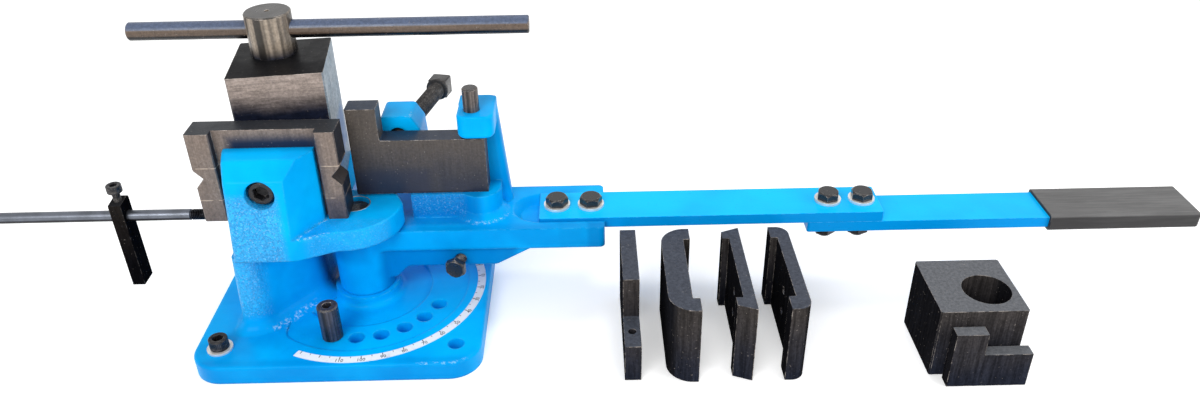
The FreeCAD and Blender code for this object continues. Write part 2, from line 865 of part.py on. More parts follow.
def arm_holes():
    cuts = [rod(0, 0, hub_under - 1, arm_top + 1, pivot_r + 1.0)]
    cuts.append(rod(0, 0, hub_under - 1, hub_recess, hub_r - hub_wall_min))
    for z in (hub_recess, arm_top - bush_long):
        cuts.append(rod(0, 0, z - 0.01, z + bush_long + 0.01, pivot_r + bush_wall))
    y0 = bar_y - bar_wide / 2 - pocket_side_gap
    y1 = bar_y + bar_wide / 2 + pocket_side_gap
    r = (y1 - y0) / 2
    cuts.append(box(inner_bar_start - stud_gap, arm_end + 1, y0, y1, bar_low, arm_top + 1))
    cuts.append(Part.makeCone(r - pocket_slope, r + pocket_slope / pocket_drop,
                              pocket_drop + 1, V(inner_bar_start, bar_y, bar_low), Z_AXIS))
    for i in range(2):
        cuts.append(rod(fork_bolt_first + lever_bolt_pitch * i, bar_y, arm_under - 1,
                        arm_top + 1, lever_bolt_r + stud_gap))
    cuts.append(rod(pin_x, pin_y, ledge_top - pin_deep, lug_top + 1, pin_r + run_gap))
    way = turned(screw_turn_deg)
    start = V(screw_x, press_back, screw_z) - way * 5
    cuts.append(bar_along(start, way, pillar_thick + 25, screw_r + run_gap))
    bolt_way = turned(stop_bolt_turn_deg)
    start = V(stop_bolt_x, stop_bolt_y, stop_bolt_z)
    cuts.append(bar_along(start, bolt_way, stop_bolt_long + 10, stop_bolt_r + run_gap))
    return cuts


def arm_casting():
    parts = [arm_plate(), arm_rib(), arm_pillar()] + arm_ledge() + arm_clevis()
    shape = fused(parts)
    hub_side = edges_near(shape, lambda e: upright(e) and abs(mid(e).y - rib_front) < 0.01
                          and mid(e).x < hub_r and mid(e).z < arm_under)
    shape = shape.makeFillet(rib_blend_r, hub_side)
    low_clear = rod(0, 0, arm_top, press_low, nose_r + nose_clear)
    shape = shape.cut(low_clear)
    for tool in arm_holes():
        shape = shape.cut(tool)
    return shape.removeSplitter()


# ================================================================ press plate and its screw
def stepped_plate(length, thick, high, tab, step):
    """Upright plate, tall at its left end, lower along the rest; left front foot on the origin."""
    side = [(0, 0), (length, 0), (length, step), (tab, step, step_corner_r), (tab, high), (0, high)]
    return prism(side, "y", 0, thick)


def press_plate():
    plate = stepped_plate(press_long, press_thick, press_high, press_tab, press_step)
    plate = plate.makeChamfer(press_edge, edges_near(plate, lambda e: upright(e) and mid(e).x < 1))
    plate.translate(V(press_left, press_front, press_low))
    return plate.cut(rod(pin_x, pin_y, press_low - 1, press_low + press_step + 1,
                         pin_r + run_gap))


def plate_pin():
    low = ledge_top - pin_deep
    pin = rod(pin_x, pin_y, low, lug_top + pin_stand_out, pin_r)
    return pin.makeChamfer(1.0, edges_near(pin, lambda e: len(e.Vertexes) == 1))


def press_screw():
    way = turned(screw_turn_deg)
    tip_r = screw_r - screw_tip_bevel
    reach = (tip_r * math.sin(math.radians(screw_turn_deg))
             + seat_gap) / math.cos(math.radians(screw_turn_deg))
    tip = V(screw_x, press_back, screw_z) + way * reach
    shank = bar_along(tip, way, screw_long, screw_r)
    point = edges_near(shank, lambda e: len(e.Vertexes) == 1
                       and (mid(e) - tip).dot(way) < screw_long / 2)
    shank = shank.makeChamfer(screw_tip_bevel, point)
    collar = bar_along(tip + way * screw_long, way, screw_collar_high, screw_collar_r)
    half = screw_head_side / 2
    corners = [V(-half, -half, 0), V(half, -half, 0), V(half, half, 0), V(-half, half, 0)]
    face = Part.Face(Part.makePolygon(corners + corners[:1]))
    head_block = face.extrude(V(0, 0, screw_head_high))
    turn = FreeCAD.Rotation(Z_AXIS, way)
    head_block.Placement = FreeCAD.Placement(tip + way * (screw_long + screw_collar_high), turn)
    round_head = bar_along(tip + way * (screw_long + screw_collar_high), way, screw_head_high,
                           half * screw_head_round)
    rim = edges_near(round_head, lambda e: len(e.Vertexes) == 1
                     and (mid(e) - tip).dot(way) > screw_long + screw_collar_high + 1)
    round_head = round_head.makeFillet(screw_head_r, rim)
    return fused([shank, collar, head_block.common(round_head)])


# ================================================================ stops
def stop_pin():
    p = polar(index_r, index_first_deg - index_step_deg * (index_count - 1), ring_z)
    body = rod(p.x, p.y, ring_z, ring_z + stop_pin_high, stop_pin_r)
    rim = edges_near(body, lambda e: len(e.Vertexes) == 1)
    body = body.makeChamfer(stop_ring_cut, rim)
    spigot = rod(p.x, p.y, ring_z - stop_spigot_long, ring_z + 1, index_hole_r - run_gap)
    key = hexagon(V(p.x, p.y, ring_z + stop_pin_high), Z_AXIS * -1, stop_socket,
                  stop_socket_deep)
    return body.fuse(spigot).cut(key)


def stop_bolt():
    way = turned(stop_bolt_turn_deg)
    seat = V(stop_bolt_x, stop_bolt_y, stop_bolt_z) + way * stop_bolt_head
    return hex_bolt(seat, way, stop_bolt_r, stop_bolt_flats, stop_bolt_head, stop_bolt_long)


def stop_bolt_nut():
    way = turned(stop_bolt_turn_deg)
    face = V(stop_bolt_x, stop_bolt_y, stop_bolt_z)
    reach = (rib_front + rib_thick - stop_bolt_y) / way.y
    slack = stop_bolt_flats * math.sin(math.radians(stop_bolt_turn_deg)) * 0.6
    return hex_nut(face + way * (reach + slack), way, stop_bolt_r + run_gap, stop_bolt_flats,
                   stop_nut_high)


# ================================================================ lever
def flat_bar(start, end, low):
    plan = [(start, bar_y - bar_wide / 2, bar_end_r), (end, bar_y - bar_wide / 2, bar_end_r),
            (end, bar_y + bar_wide / 2, bar_end_r), (start, bar_y + bar_wide / 2, bar_end_r)]
    return prism(plan, "z", low, low + bar_thick)


def bolt_places():
    """Centre x, head seat and nut seat of each lever bolt."""
    places = []
    for i in range(2):
        places.append((fork_bolt_first + lever_bolt_pitch * i, inner_bar_top, arm_under))
    for i in range(2):
        places.append((joint_bolt_first + lever_bolt_pitch * i, inner_bar_top, outer_bar_low))
    return places


def drilled(shape, xs):
    for x in xs:
        shape = shape.cut(rod(x, bar_y, 0, table_top, lever_bolt_r + stud_gap))
    return shape


def inner_bar():
    return drilled(flat_bar(inner_bar_start, inner_bar_end, bar_low),
                   [p[0] for p in bolt_places()])


def outer_bar():
    return drilled(flat_bar(outer_bar_start, outer_bar_end, outer_bar_low),
                   [p[0] for p in bolt_places()[2:]])


def lever_bolts():
    made = []
    for x, top, low in bolt_places():
        seat = V(x, bar_y, top + lever_washer_thick)
        shank = top + lever_washer_thick - low + lever_washer_thick + lever_nut_high
        made.append(hex_bolt(seat, Z_AXIS * -1, lever_bolt_r, lever_bolt_flats,
                             lever_bolt_head, shank + lever_bolt_proud, bolt_spin_step_deg * len(made)))
    return Part.makeCompound(made)


def lever_washers():
    made = []
    for x, top, low in bolt_places():
        for z in (top, low - lever_washer_thick):
            made.append(washer(V(x, bar_y, z), Z_AXIS, lever_washer_r,
                               lever_bolt_r + run_gap, lever_washer_thick))
    return Part.makeCompound(made)


def lever_nuts():
    made = []
    for x, top, low in bolt_places():
        made.append(hex_nut(V(x, bar_y, low - lever_washer_thick), Z_AXIS * -1,
                            lever_bolt_r + run_gap, lever_bolt_flats, lever_nut_high,
                            nut_spin_step_deg * len(made)))
    return Part.makeCompound(made)


def lever_grip():
    y0, y1 = bar_y - bar_wide / 2 - grip_wall, bar_y + bar_wide / 2 + grip_wall
    z0, z1 = outer_bar_low - grip_wall, outer_bar_top + grip_wall
    corners = [(y0, z0), (y1, z0), (y1, z1), (y0, z1)]
    body = prism([(y, z, grip_corner_r) for y, z in corners], "x", grip_start, grip_end)
    ends = edges_near(body, lambda e: abs(mid(e).x - grip_end) < 0.01)
    body = body.makeFillet(grip_end_r, ends)
    return body.cut(flat_bar(grip_start - 5, outer_bar_end, outer_bar_low))


# ================================================================ length stop
def stop_rod():
    start = V(table_left + rod_in, rod_y, rod_z)
    bar = bar_along(start, X_AXIS * -1, rod_in + rod_out, rod_r)
    return bar.makeChamfer(1.0, edges_near(bar, lambda e: len(e.Vertexes) == 1))


def rod_stop_bar():
    y0, y1 = rod_y - stop_bar_deep / 2, rod_y + stop_bar_deep / 2
    side = [(y0, rod_z - stop_bar_down), (y1, rod_z - stop_bar_down),
            (y1, rod_z + stop_bar_up + 2, 3), (y0, rod_z + stop_bar_up, 1)]
    bar = prism(side, "x", stop_bar_x - stop_bar_wide / 2, stop_bar_x + stop_bar_wide / 2)
    bar = bar.cut(bar_along(V(stop_bar_x - 20, rod_y, rod_z), X_AXIS, 40, rod_r + run_gap))
    return bar.cut(rod(stop_bar_x, rod_y, rod_z + rod_r - 1, rod_z + stop_bar_up + 10,
                       bar_screw_r + run_gap))


def rod_stop_screw():
    seat = V(stop_bar_x, rod_y, rod_z + stop_bar_up + 2 + bar_screw_proud)
    shank = seat.z - (rod_z + rod_r) - slide_gap
    return socket_screw(seat, Z_AXIS * -1, bar_screw_r, bar_screw_head_r,
                        bar_screw_head_high, bar_screw_socket, shank)


# ================================================================ base screw
def base_screw():
    seat = V(bolt_x_left, bolt_y_front, plate_thick + base_washer_thick)
    return socket_screw(seat, Z_AXIS * -1, base_screw_r, base_screw_head_r,
                        base_screw_head_high, base_screw_socket, seat.z - base_screw_short)


def base_screw_washer():
    return washer(V(bolt_x_left, bolt_y_front, plate_thick), Z_AXIS, base_washer_r,
                  base_screw_r + run_gap, base_washer_thick)


# ================================================================ spare dies
def stand(shape, x, faces_right):
    """Turn a channel die on end along Y; the channel faces +X or -X."""
    shape.rotate(V(0, 0, 0), Z_AXIS, 90 if faces_right else -90)
    b = shape.BoundBox
    shape.translate(V(x - b.XMin, spare_back - b.YMax, -b.ZMin))
    return shape


def spare_channel_die(deep):
    lip = (spare_wide - spare_channel) / 2
    return channel_die(spare_wide, deep, spare_high, lip, lip, spare_channel_deep)


def spare_press_plate():
    plate = stepped_plate(spare_plate_long, spare_plate_thick, spare_high,
                          spare_plate_long - spare_plate_ledge, spare_plate_ledge_high)
    plate = plate.cut(rod(spare_plate_long - spare_plate_ledge / 2, spare_plate_thick / 2, -1,
                          spare_high, spare_hole_r))
    plate.rotate(V(0, 0, 0), Z_AXIS, -90)
    b = plate.BoundBox
    plate.translate(V(spare_plate_x - b.XMin, spare_back - b.YMax, 0))
    return plate


def spare_thick_die():
    die = spare_channel_die(thick_die_deep)
    ends = edges_near(die, lambda e: upright(e) and abs(mid(e).y) < 0.01)
    die = die.makeFillet(thick_die_nose_r, ends)
    return stand(die, thick_die_x, True)


def spare_sharp_die():
    die = spare_channel_die(sharp_die_deep)
    for x, way in ((0, 1), (spare_wide, -1)):
        wedge = prism([(x - way, 1), (x - way, -sharp_die_deep - 1),
                       (x + way * sharp_die_slant, -sharp_die_deep - 1), (x, 0)],
                      "z", -1, spare_high + 1)
        die = die.cut(wedge)
    return stand(with_web_holes(die, sharp_die_deep), sharp_die_x, False)


def spare_round_die():
    die = spare_channel_die(round_die_deep)
    ends = edges_near(die, lambda e: upright(e) and abs(mid(e).y) < 0.01)
    die = die.makeFillet(round_die_r, ends)
    return stand(with_web_holes(die, round_die_deep), round_die_x, False)


def with_web_holes(die, deep):
    """Two tapped holes in the web, one above the other, opening into the channel."""
    for side in (-1, 1):
        start = V(spare_wide / 2, -deep - 1, spare_high / 2 + side * spare_hole_pitch / 2)
        die = die.cut(bar_along(start, Y_AXIS, deep - 1, spare_hole_r))
    return die


def spare_block():
    side = spare_block_side
    block = box(0, side, 0, side, 0, spare_block_high)
    block = block.makeChamfer(block_edge, edges_near(block, upright))
    block = block.cut(rod(side / 2 + spare_block_off_x, side / 2 + spare_block_off_y, -1,
                          spare_block_high + 1, clamp_r + run_gap))
    block.translate(V(spare_block_x, spare_block_front, 0))
    return block


def spare_small_plate():
    plate = stepped_plate(small_plate_long, small_plate_thick, small_plate_high,
                          small_plate_tab, small_plate_step)
    plate.translate(V(small_plate_x, spare_block_front - small_plate_gap - small_plate_thick, 0))
    return plate


# ================================================================ export
NODES = {
    "base_casting": base_casting,
    "angle_scale": angle_scale,
    "pivot_pin": pivot_pin,
    "pivot_grub_screw": pivot_grub,
    "lower_thrust_washer": lower_washer,
    "upper_thrust_washer": upper_washer,
    "hub_bushes": hub_bushes,
    "bending_die": bending_die,
    "die_screw": die_screw,
    "forming_block": forming_block,
    "clamp_pin": clamp_pin,
    "t_bar": t_bar,
    "arm_casting": arm_casting,
    "press_plate": press_plate,
    "plate_pin": plate_pin,
    "press_screw": press_screw,
    "stop_pin": stop_pin,
    "stop_bolt": stop_bolt,
    "stop_bolt_nut": stop_bolt_nut,
    "lever_inner_bar": inner_bar,
    "lever_outer_bar": outer_bar,
    "lever_bolts": lever_bolts,
    "lever_washers": lever_washers,
    "lever_nuts": lever_nuts,
    "lever_grip": lever_grip,
    "stop_rod": stop_rod,
    "rod_stop_bar": rod_stop_bar,
    "rod_stop_screw": rod_stop_screw,
    "base_screw": base_screw,
    "base_screw_washer": base_screw_washer,
    "spare_press_plate": spare_press_plate,
    "spare_thick_die": spare_thick_die,
    "spare_sharp_die": spare_sharp_die,
    "spare_round_die": spare_round_die,
    "spare_block": spare_block,
    "spare_small_plate": spare_small_plate,
}

os.makedirs("parts", exist_ok=True)
for name, make in NODES.items():
    shape = make()
    solids = shape.Solids
    print(name, len(solids), round(sum(s.Volume for s in solids) / 1000, 2), "cm3",
          "valid" if shape.isValid() else "NOT VALID")
    shape.exportStep("parts/" + name + ".step")
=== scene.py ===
"""Finish and fine detail of a bench bender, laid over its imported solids.

Metres, Z up, the origin on the arm's pivot axis at the bench. Each class holds one
sub-assembly's sizes and dresses its pieces.
"""
import logging
import math
from dataclasses import dataclass, replace
from enum import Enum
from typing import Callable, ClassVar, Dict, Iterator, List, Mapping, Optional, Sequence, Tuple

import bmesh
import bpy
from mathutils import Matrix, Vector


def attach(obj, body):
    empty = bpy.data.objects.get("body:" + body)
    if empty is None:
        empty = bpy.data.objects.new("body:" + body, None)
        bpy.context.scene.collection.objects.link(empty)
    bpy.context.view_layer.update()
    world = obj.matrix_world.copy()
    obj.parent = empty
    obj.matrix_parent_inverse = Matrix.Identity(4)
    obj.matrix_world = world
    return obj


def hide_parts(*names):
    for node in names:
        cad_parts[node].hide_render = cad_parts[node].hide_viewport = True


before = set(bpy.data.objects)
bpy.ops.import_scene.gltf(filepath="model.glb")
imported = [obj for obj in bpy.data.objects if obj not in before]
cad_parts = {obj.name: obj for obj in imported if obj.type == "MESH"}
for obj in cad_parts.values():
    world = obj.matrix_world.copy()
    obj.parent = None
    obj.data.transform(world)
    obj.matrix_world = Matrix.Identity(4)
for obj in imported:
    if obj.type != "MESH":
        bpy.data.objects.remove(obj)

Colour = Tuple[float, float, float]
Point = Tuple[float, float, float]
Pair = Tuple[float, float]
Node = bpy.types.Node
Socket = bpy.types.NodeSocket
Outputs = Mapping[str, Socket]
Tree = bpy.types.NodeTree
MM = 0.001
ROUND = 2 * math.pi
SOLID_CREASE_DEG = 32.0
PIECE_CREASE_DEG = 35.0
RIM_COUNT, BOLT_COUNT, THREAD_COUNT = 64, 48, 32
THREAD_STEPS = 6  # rings in each turn of a thread
THREAD_DEPTH, THREAD_CREST = 0.6, 0.12  # shares of the pitch and of half a turn
LOG = logging.getLogger("bench_bender")
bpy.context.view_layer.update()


class Body(Enum):
    """Rigid bodies that the new pieces ride on."""

    MACHINE = "machine"
    PRESS_SCREW = "press_screw_body"
    STOP_BOLT = "stop_bolt_body"
    STOP_ROD = "stop_rod_body"
    ROD_STOP_SCREW = "rod_stop_screw_body"


class Slot(Enum):
    """Material slots of the record."""

    BLUE_CAST = "blue_cast"
    BLUE_BAR = "blue_bar"
    BLACK = "black_steel"
    WORN_BLACK = "worn_black_steel"
    BRIGHT = "bright_steel"
    ZINC = "zinc_steel"
    BRONZE = "bronze"
    SCALE = "scale_white"
    GRIP = "grip_grey"


class Grain(Enum):
    """Noise textures: scale, detail, roughness, and distortion where there is one."""

    EDGE_BREAKS = (180.0, 4.0, 0.65)
    CASTING_WAVES = (42.0, 2.0, 0.5)
    ORANGE_PEEL = (380.0, 2.0, 0.55)
    SAND_GRIT = (470.0, 3.0, 0.6, 0.5)
    PAINT_CLOUDS = (16.0, 3.0, 0.6)
    GLINT_GRAINS = (640.0, 3.0, 0.65)
    FILLET_FLECKS = (340.0, 4.0, 0.7, 0.4)
    FINE_LINES = (900.0, 3.0, 0.6)
    SCRATCHES = (210.0, 5.0, 0.75)
    SPECKS = (430.0, 2.0, 0.6)
    STREAKS = (330.0, 5.0, 0.75)
    BAR_CLOUDS = (9.0, 3.0, 0.6)
    BAR_PEEL = (300.0, 2.0, 0.5)
    OXIDE_CLOUDS = (34.0, 4.0, 0.62)
    OXIDE_GRIT = (420.0, 5.0, 0.75)
    TOP_GRIT = (380.0, 5.0, 0.75)
    SHEEN_LOBES = (2.3, 2.0, 0.55)
    LINE_WAVER = (260.0, 3.0, 0.5)
    LINE_BREAKS = (150.0, 3.0, 0.5)
    OIL_PATCHES = (60.0, 4.0, 0.6)
    DULL_PATCHES = (60.0, 4.0, 0.65)
    SOIL_PATCHES = (70.0, 5.0, 0.7)
    THIN_INK = (500.0, 3.0, 0.6)
    SLEEVE_CLOUDS = (12.0, 4.0, 0.6)
    MOULD_GRAIN = (1500.0, 2.0, 0.5)


# ------------------------------------------------------------------ shader building
class Sheet:
    """A node tree with short ways to add and join nodes."""

    def __init__(self, tree: Tree) -> None:
        """Wrap a material's, a group's or the world's tree."""
        self.tree = tree

    def put(self, socket: Socket, value: object) -> None:
        """Link a socket, or set its value.

        Args:
            socket: the input socket.
            value: an output socket, a number, a colour or a vector.
        """
        if isinstance(value, Socket):
            self.tree.links.new(value, socket)
        elif isinstance(value, tuple) and socket.type == "RGBA" and len(value) == 3:
            socket.default_value = (*value, 1.0)
        else:
            socket.default_value = value

    def feed(self, node: Node, **inputs: object) -> None:
        """Fill a node's sockets.

        Args:
            node: the node.
            **inputs: values or output sockets; "_" in a name stands for a space, and "i0",
                "i1" name sockets by number.
        """
        for key, value in inputs.items():
            numbered = key[0] == "i" and key[1:].isdigit()
            self.put(node.inputs[int(key[1:]) if numbered else key.replace("_", " ")], value)

    def add(self, kind: str, props: Optional[dict] = None, **inputs: object) -> Node:
        """Add a node, set its properties and fill its sockets.

        Args:
            kind: the node's type name, as it goes on after "ShaderNode".
            props: values for the node's own properties.
            **inputs: what its sockets get, as in feed.

        Returns:
            The new node.
        """
        node = self.tree.nodes.new("ShaderNode" + kind)
        for key, value in (props or {}).items():
            setattr(node, key, value)
        self.feed(node, **inputs)
        return node

    def math(self, how: str, a: object, b: object = 0.0) -> Socket:
        """Result of an arithmetic node on two values."""
        return self.add("Math", {"operation": how}, i0=a, i1=b).outputs[0]

    def times(self, a: object, b: object) -> Socket:
        """Product of two values."""
        return self.math("MULTIPLY", a, b)

    def plus(self, a: object, b: object) -> Socket:
        """Sum of two values."""
        return self.math("ADD", a, b)

    def most(self, a: object, b: object) -> Socket:
        """Larger of two values."""
        return self.math("MAXIMUM", a, b)

    def vector(self, how: str, a: object, b: object, out: int = 0) -> Socket:
        """Result of a vector arithmetic node: out 0 is a vector, out 1 a number."""
        return self.add("VectorMath", {"operation": how}, i0=a, i1=b).outputs[out]

    def part(self, vector: object, axis: int) -> Socket:
        """One part of a vector: 0 for X, 1 for Y, 2 for Z."""
        return self.add("SeparateXYZ", None, i0=vector).outputs[axis]

    def ramp(self, value: object, low: object, high: float, to_low: float = 0.0,
             to_high: float = 1.0) -> Socket:
        """Value mapped smoothly from one range to another, and held at its ends."""
        return self.add("MapRange", {"interpolation_type": "SMOOTHSTEP"}, Value=value,
                        From_Min=low, From_Max=high, To_Min=to_low, To_Max=to_high).outputs[0]

    def mix(self, share: object, a: object, b: object, how: str = "MIX") -> Socket:
        """Colour between two colours by a share, or one multiplied by the other."""
        node = self.add("Mix", {"data_type": "RGBA", "blend_type": how}, i0=share, i6=a, i7=b)
        return node.outputs[2]

    def tint(self, colour: object, paint: Colour, mask: object, share: float = 1.0) -> Socket:
        """Colour turned towards a paint by a mask times a share."""
        return self.mix(mask if share == 1.0 else self.times(mask, share), colour, paint)

    def shade(self, colour: object, factor: Socket) -> Socket:
        """Colour made darker or lighter by a factor."""
        return self.mix(1.0, colour, factor, "MULTIPLY")

    def noise(self, where: object, grain: Grain) -> Socket:
        """Value of a noise texture at a place."""
        values = dict(zip(("Scale", "Detail", "Roughness", "Distortion"), grain.value))
        return self.add("TexNoise", None, Vector=where, **values).outputs[0]

    def place(self) -> Socket:
        """Position in the object's own coordinates."""
        return self.add("TexCoord").outputs["Object"]

    def facing(self) -> Socket:
        """Surface normal in the object's own coordinates."""
        return self.add("TexCoord").outputs["Normal"]

    def seen(self) -> Socket:
        """1 where the camera or a reflection looks, else 0."""
        path = self.add("LightPath").outputs
        return self.most(path["Is Camera Ray"], path["Is Glossy Ray"])

    def bump(self, height: object, strength: float, depth: float, **normal: Socket) -> Socket:
        """Normal raised by a height; Normal= gives the normal that it starts from."""
        return self.add("Bump", None, Strength=strength, Distance=depth, Height=height,
                        **normal).outputs[0]


class Coat(Sheet):
    """A material's tree: its shader, and the position that its patterns start from."""

    def __init__(self, tree: Tree) -> None:
        """Empty the tree and add its shader.

        Args:
            tree: the material's tree.
        """
        super().__init__(tree)
        tree.nodes.clear()
        self.shader = self.add("BsdfPrincipled")
        self.add("OutputMaterial", None, Surface=self.shader.outputs[0])
        self.where = self.place()

    def patches(self, grain: Grain, *limits: float) -> Socket:
        """A noise texture on the material, mapped as ramp does."""
        return self.ramp(self.noise(self.where, grain), *limits)


class GroupSheet(Sheet):
    """The inside of a shader group."""

    def __init__(self, tree: Tree) -> None:
        """Wrap the group's tree and add its two end nodes."""
        super().__init__(tree)
        self.ends = tree.nodes.new("NodeGroupInput"), tree.nodes.new("NodeGroupOutput")

    def given(self, name: str) -> Socket:
        """Value that a material gives to one of the group's inputs."""
        return self.ends[0].outputs[name]

    def give(self, **outputs: object) -> None:
        """Pass values to the group's outputs."""
        self.feed(self.ends[1], **outputs)


@dataclass(frozen=True)
class Effect:
    """A shader group shared by the finishes.

    inputs gives each number's default, and None for a vector. outputs gives each name, and
    whether it is a vector.
    """

    name: str
    inputs: Dict[str, Optional[float]]
    outputs: Dict[str, bool]
    fill: Callable[[GroupSheet], None]

    def build(self) -> Tree:
        """Make the group.

        Returns:
            The group's tree.
        """
        kinds = ("NodeSocketFloat", "NodeSocketVector")
        tree = bpy.data.node_groups.new(self.name, "ShaderNodeTree")
        for label, start in self.inputs.items():
            socket = tree.interface.new_socket(label, in_out="INPUT",
                                               socket_type=kinds[start is None])
            if start is not None:
                socket.default_value = start
        for label, is_vector in self.outputs.items():
            tree.interface.new_socket(label, in_out="OUTPUT", socket_type=kinds[is_vector])
        self.fill(GroupSheet(tree))
        return tree

    def use(self, s: Sheet, **inputs: object) -> Outputs:
        """Place the group in a tree, fill its sockets and give its outputs."""
        tree = bpy.data.node_groups.get(self.name) or self.build()
        return s.add("Group", {"node_tree": tree}, **inputs).outputs


def fill_edge_wear(s: GroupSheet) -> None:
    """Rounded edge normal, and a broken mask along the edges: wear on bare metal and rubber,
    painted edge highlight and fillet glints on enamel.

    Args:
        s: the group's inside.
    """
    soft = s.add("Bevel", {"samples": 6}, Radius=s.given("Radius")).outputs[0]
    true = s.add("NewGeometry").outputs["True Normal"]
    edge = s.ramp(s.vector("DOT_PRODUCT", soft, true, 1), 0.995, 0.86)
    worn = s.ramp(s.noise(s.given("Place"), Grain.EDGE_BREAKS), 0.42, 0.62)
    s.give(Mask=s.times(s.times(edge, worn), s.given("Amount")), Normal=soft)


def fill_zone(s: GroupSheet) -> None:
    """Soft-edged box in the object's coordinates: 1 inside, 0 outside.

    Args:
        s: the group's inside.
    """
    off = s.vector("SUBTRACT", s.given("Place"), s.given("Centre"))
    past = s.vector("SUBTRACT", s.vector("ABSOLUTE", off, (0.0, 0.0, 0.0)), s.given("Half"))
    parts = s.add("SeparateXYZ", None, i0=past).outputs
    worst = s.most(s.most(parts[0], parts[1]), parts[2])
    s.give(Mask=s.ramp(worst, s.given("Fade"), 0.0))


def fill_cast_skin(s: GroupSheet) -> None:
    """Height of painted sand casting: slow waves, orange peel, and pits by a share.

    Args:
        s: the group's inside.
    """
    where, share = s.given("Place"), s.given("Roughness")
    pits = s.ramp(s.noise(where, Grain.SAND_GRIT), 0.36, 0.60)
    level = s.plus(s.times(s.noise(where, Grain.CASTING_WAVES), 1.2),
                   s.times(s.noise(where, Grain.ORANGE_PEEL), 0.26))
    s.give(Height=s.plus(level, s.times(s.times(pits, 1.3), share)),
           Pits=s.times(s.math("SUBTRACT", 1.0, pits), share),
           Clouds=s.noise(where, Grain.PAINT_CLOUDS))


def fill_tool_marks(s: GroupSheet) -> None:
    """Long fine scratches along one direction, and loose specks.

    Args:
        s: the group's inside.
    """
    where = s.vector("MULTIPLY", s.given("Place"), s.given("Stretch"))
    s.give(Lines=s.noise(where, Grain.FINE_LINES),
           Scratches=s.ramp(s.noise(where, Grain.SCRATCHES), 0.70, 0.78),
           Specks=s.ramp(s.noise(s.given("Place"), Grain.SPECKS), 0.68, 0.74),
           Streaks=s.ramp(s.noise(where, Grain.STREAKS), 0.32, 0.68))


EDGE_WEAR_AND_SHEEN = Effect("EdgeWearAndSheen", {"Place": None, "Radius": 0.0008, "Amount": 1.0},
                   {"Mask": False, "Normal": True}, fill_edge_wear)
ZONE = Effect("Zone", {"Place": None, "Centre": None, "Half": None, "Fade": 0.01},
              {"Mask": False}, fill_zone)
CAST_SKIN = Effect("CastSkin", {"Place": None, "Roughness": 0.0},
                   {"Height": False, "Pits": False, "Clouds": False}, fill_cast_skin)
TOOL_MARKS = Effect("ToolMarks", {"Place": None, "Stretch": None},
                    {"Lines": False, "Scratches": False, "Specks": False, "Streaks": False},
                    fill_tool_marks)


@dataclass(frozen=True)
class Spot:
    """Soft-edged box on a piece where its finish, painted shade or painted glint changes, and
    how strongly.
    """

    centre: Point
    half: Point
    share: float = 1.0


def spotted(s: Coat, spots: Tuple[Spot, ...], fade: float) -> object:
    """Mask of all the spots together.

    Args:
        s: the material's sheet.
        spots: the soft boxes.
        fade: width of their soft edge.

    Returns:
        An output socket, or 0 where there are no spots.
    """
    total: object = 0.0
    for spot in spots:
        box = ZONE.use(s, Place=s.where, Centre=spot.centre, Half=spot.half, Fade=fade)
        total = s.most(s.times(box["Mask"], spot.share), total)
    return total


@dataclass(frozen=True)
class Finish:
    """A finish: what every material of the object starts from.

    grain stretches its tool marks, and edge_r and the share after it are the radius and share
    of its edge mask: wear on bare metal and rubber, painted edge highlight on enamel.
    """

    name: str
    slot: Slot
    grain: Point = (1.0, 1.0, 1.0)
    edge_r: float = 0.0009
    wear: float = 0.5

    def build(self) -> bpy.types.Material:
        """The finished material, built on first use.

        Returns:
            The Blender material.
        """
        known = bpy.data.materials.get(self.name)
        if known is not None:
            return known
        material = bpy.data.materials.new(self.name)
        material.use_nodes = True
        self.fill(Coat(material.node_tree))
        return material

    def fill(self, s: Coat) -> None:
        """Connect the finish's own nodes to its shader."""
        raise NotImplementedError

    def marks(self, s: Coat) -> Outputs:
        """Tool marks along the finish's grain."""
        return TOOL_MARKS.use(s, Place=s.where, Stretch=self.grain)

    def edge(self, s: Coat) -> Outputs:
        """Edge mask of the finish: wear on bare metal and rubber, painted edge highlight on
        enamel bar.
        """
        return EDGE_WEAR_AND_SHEEN.use(s, Place=s.where, Radius=self.edge_r, Amount=self.wear)


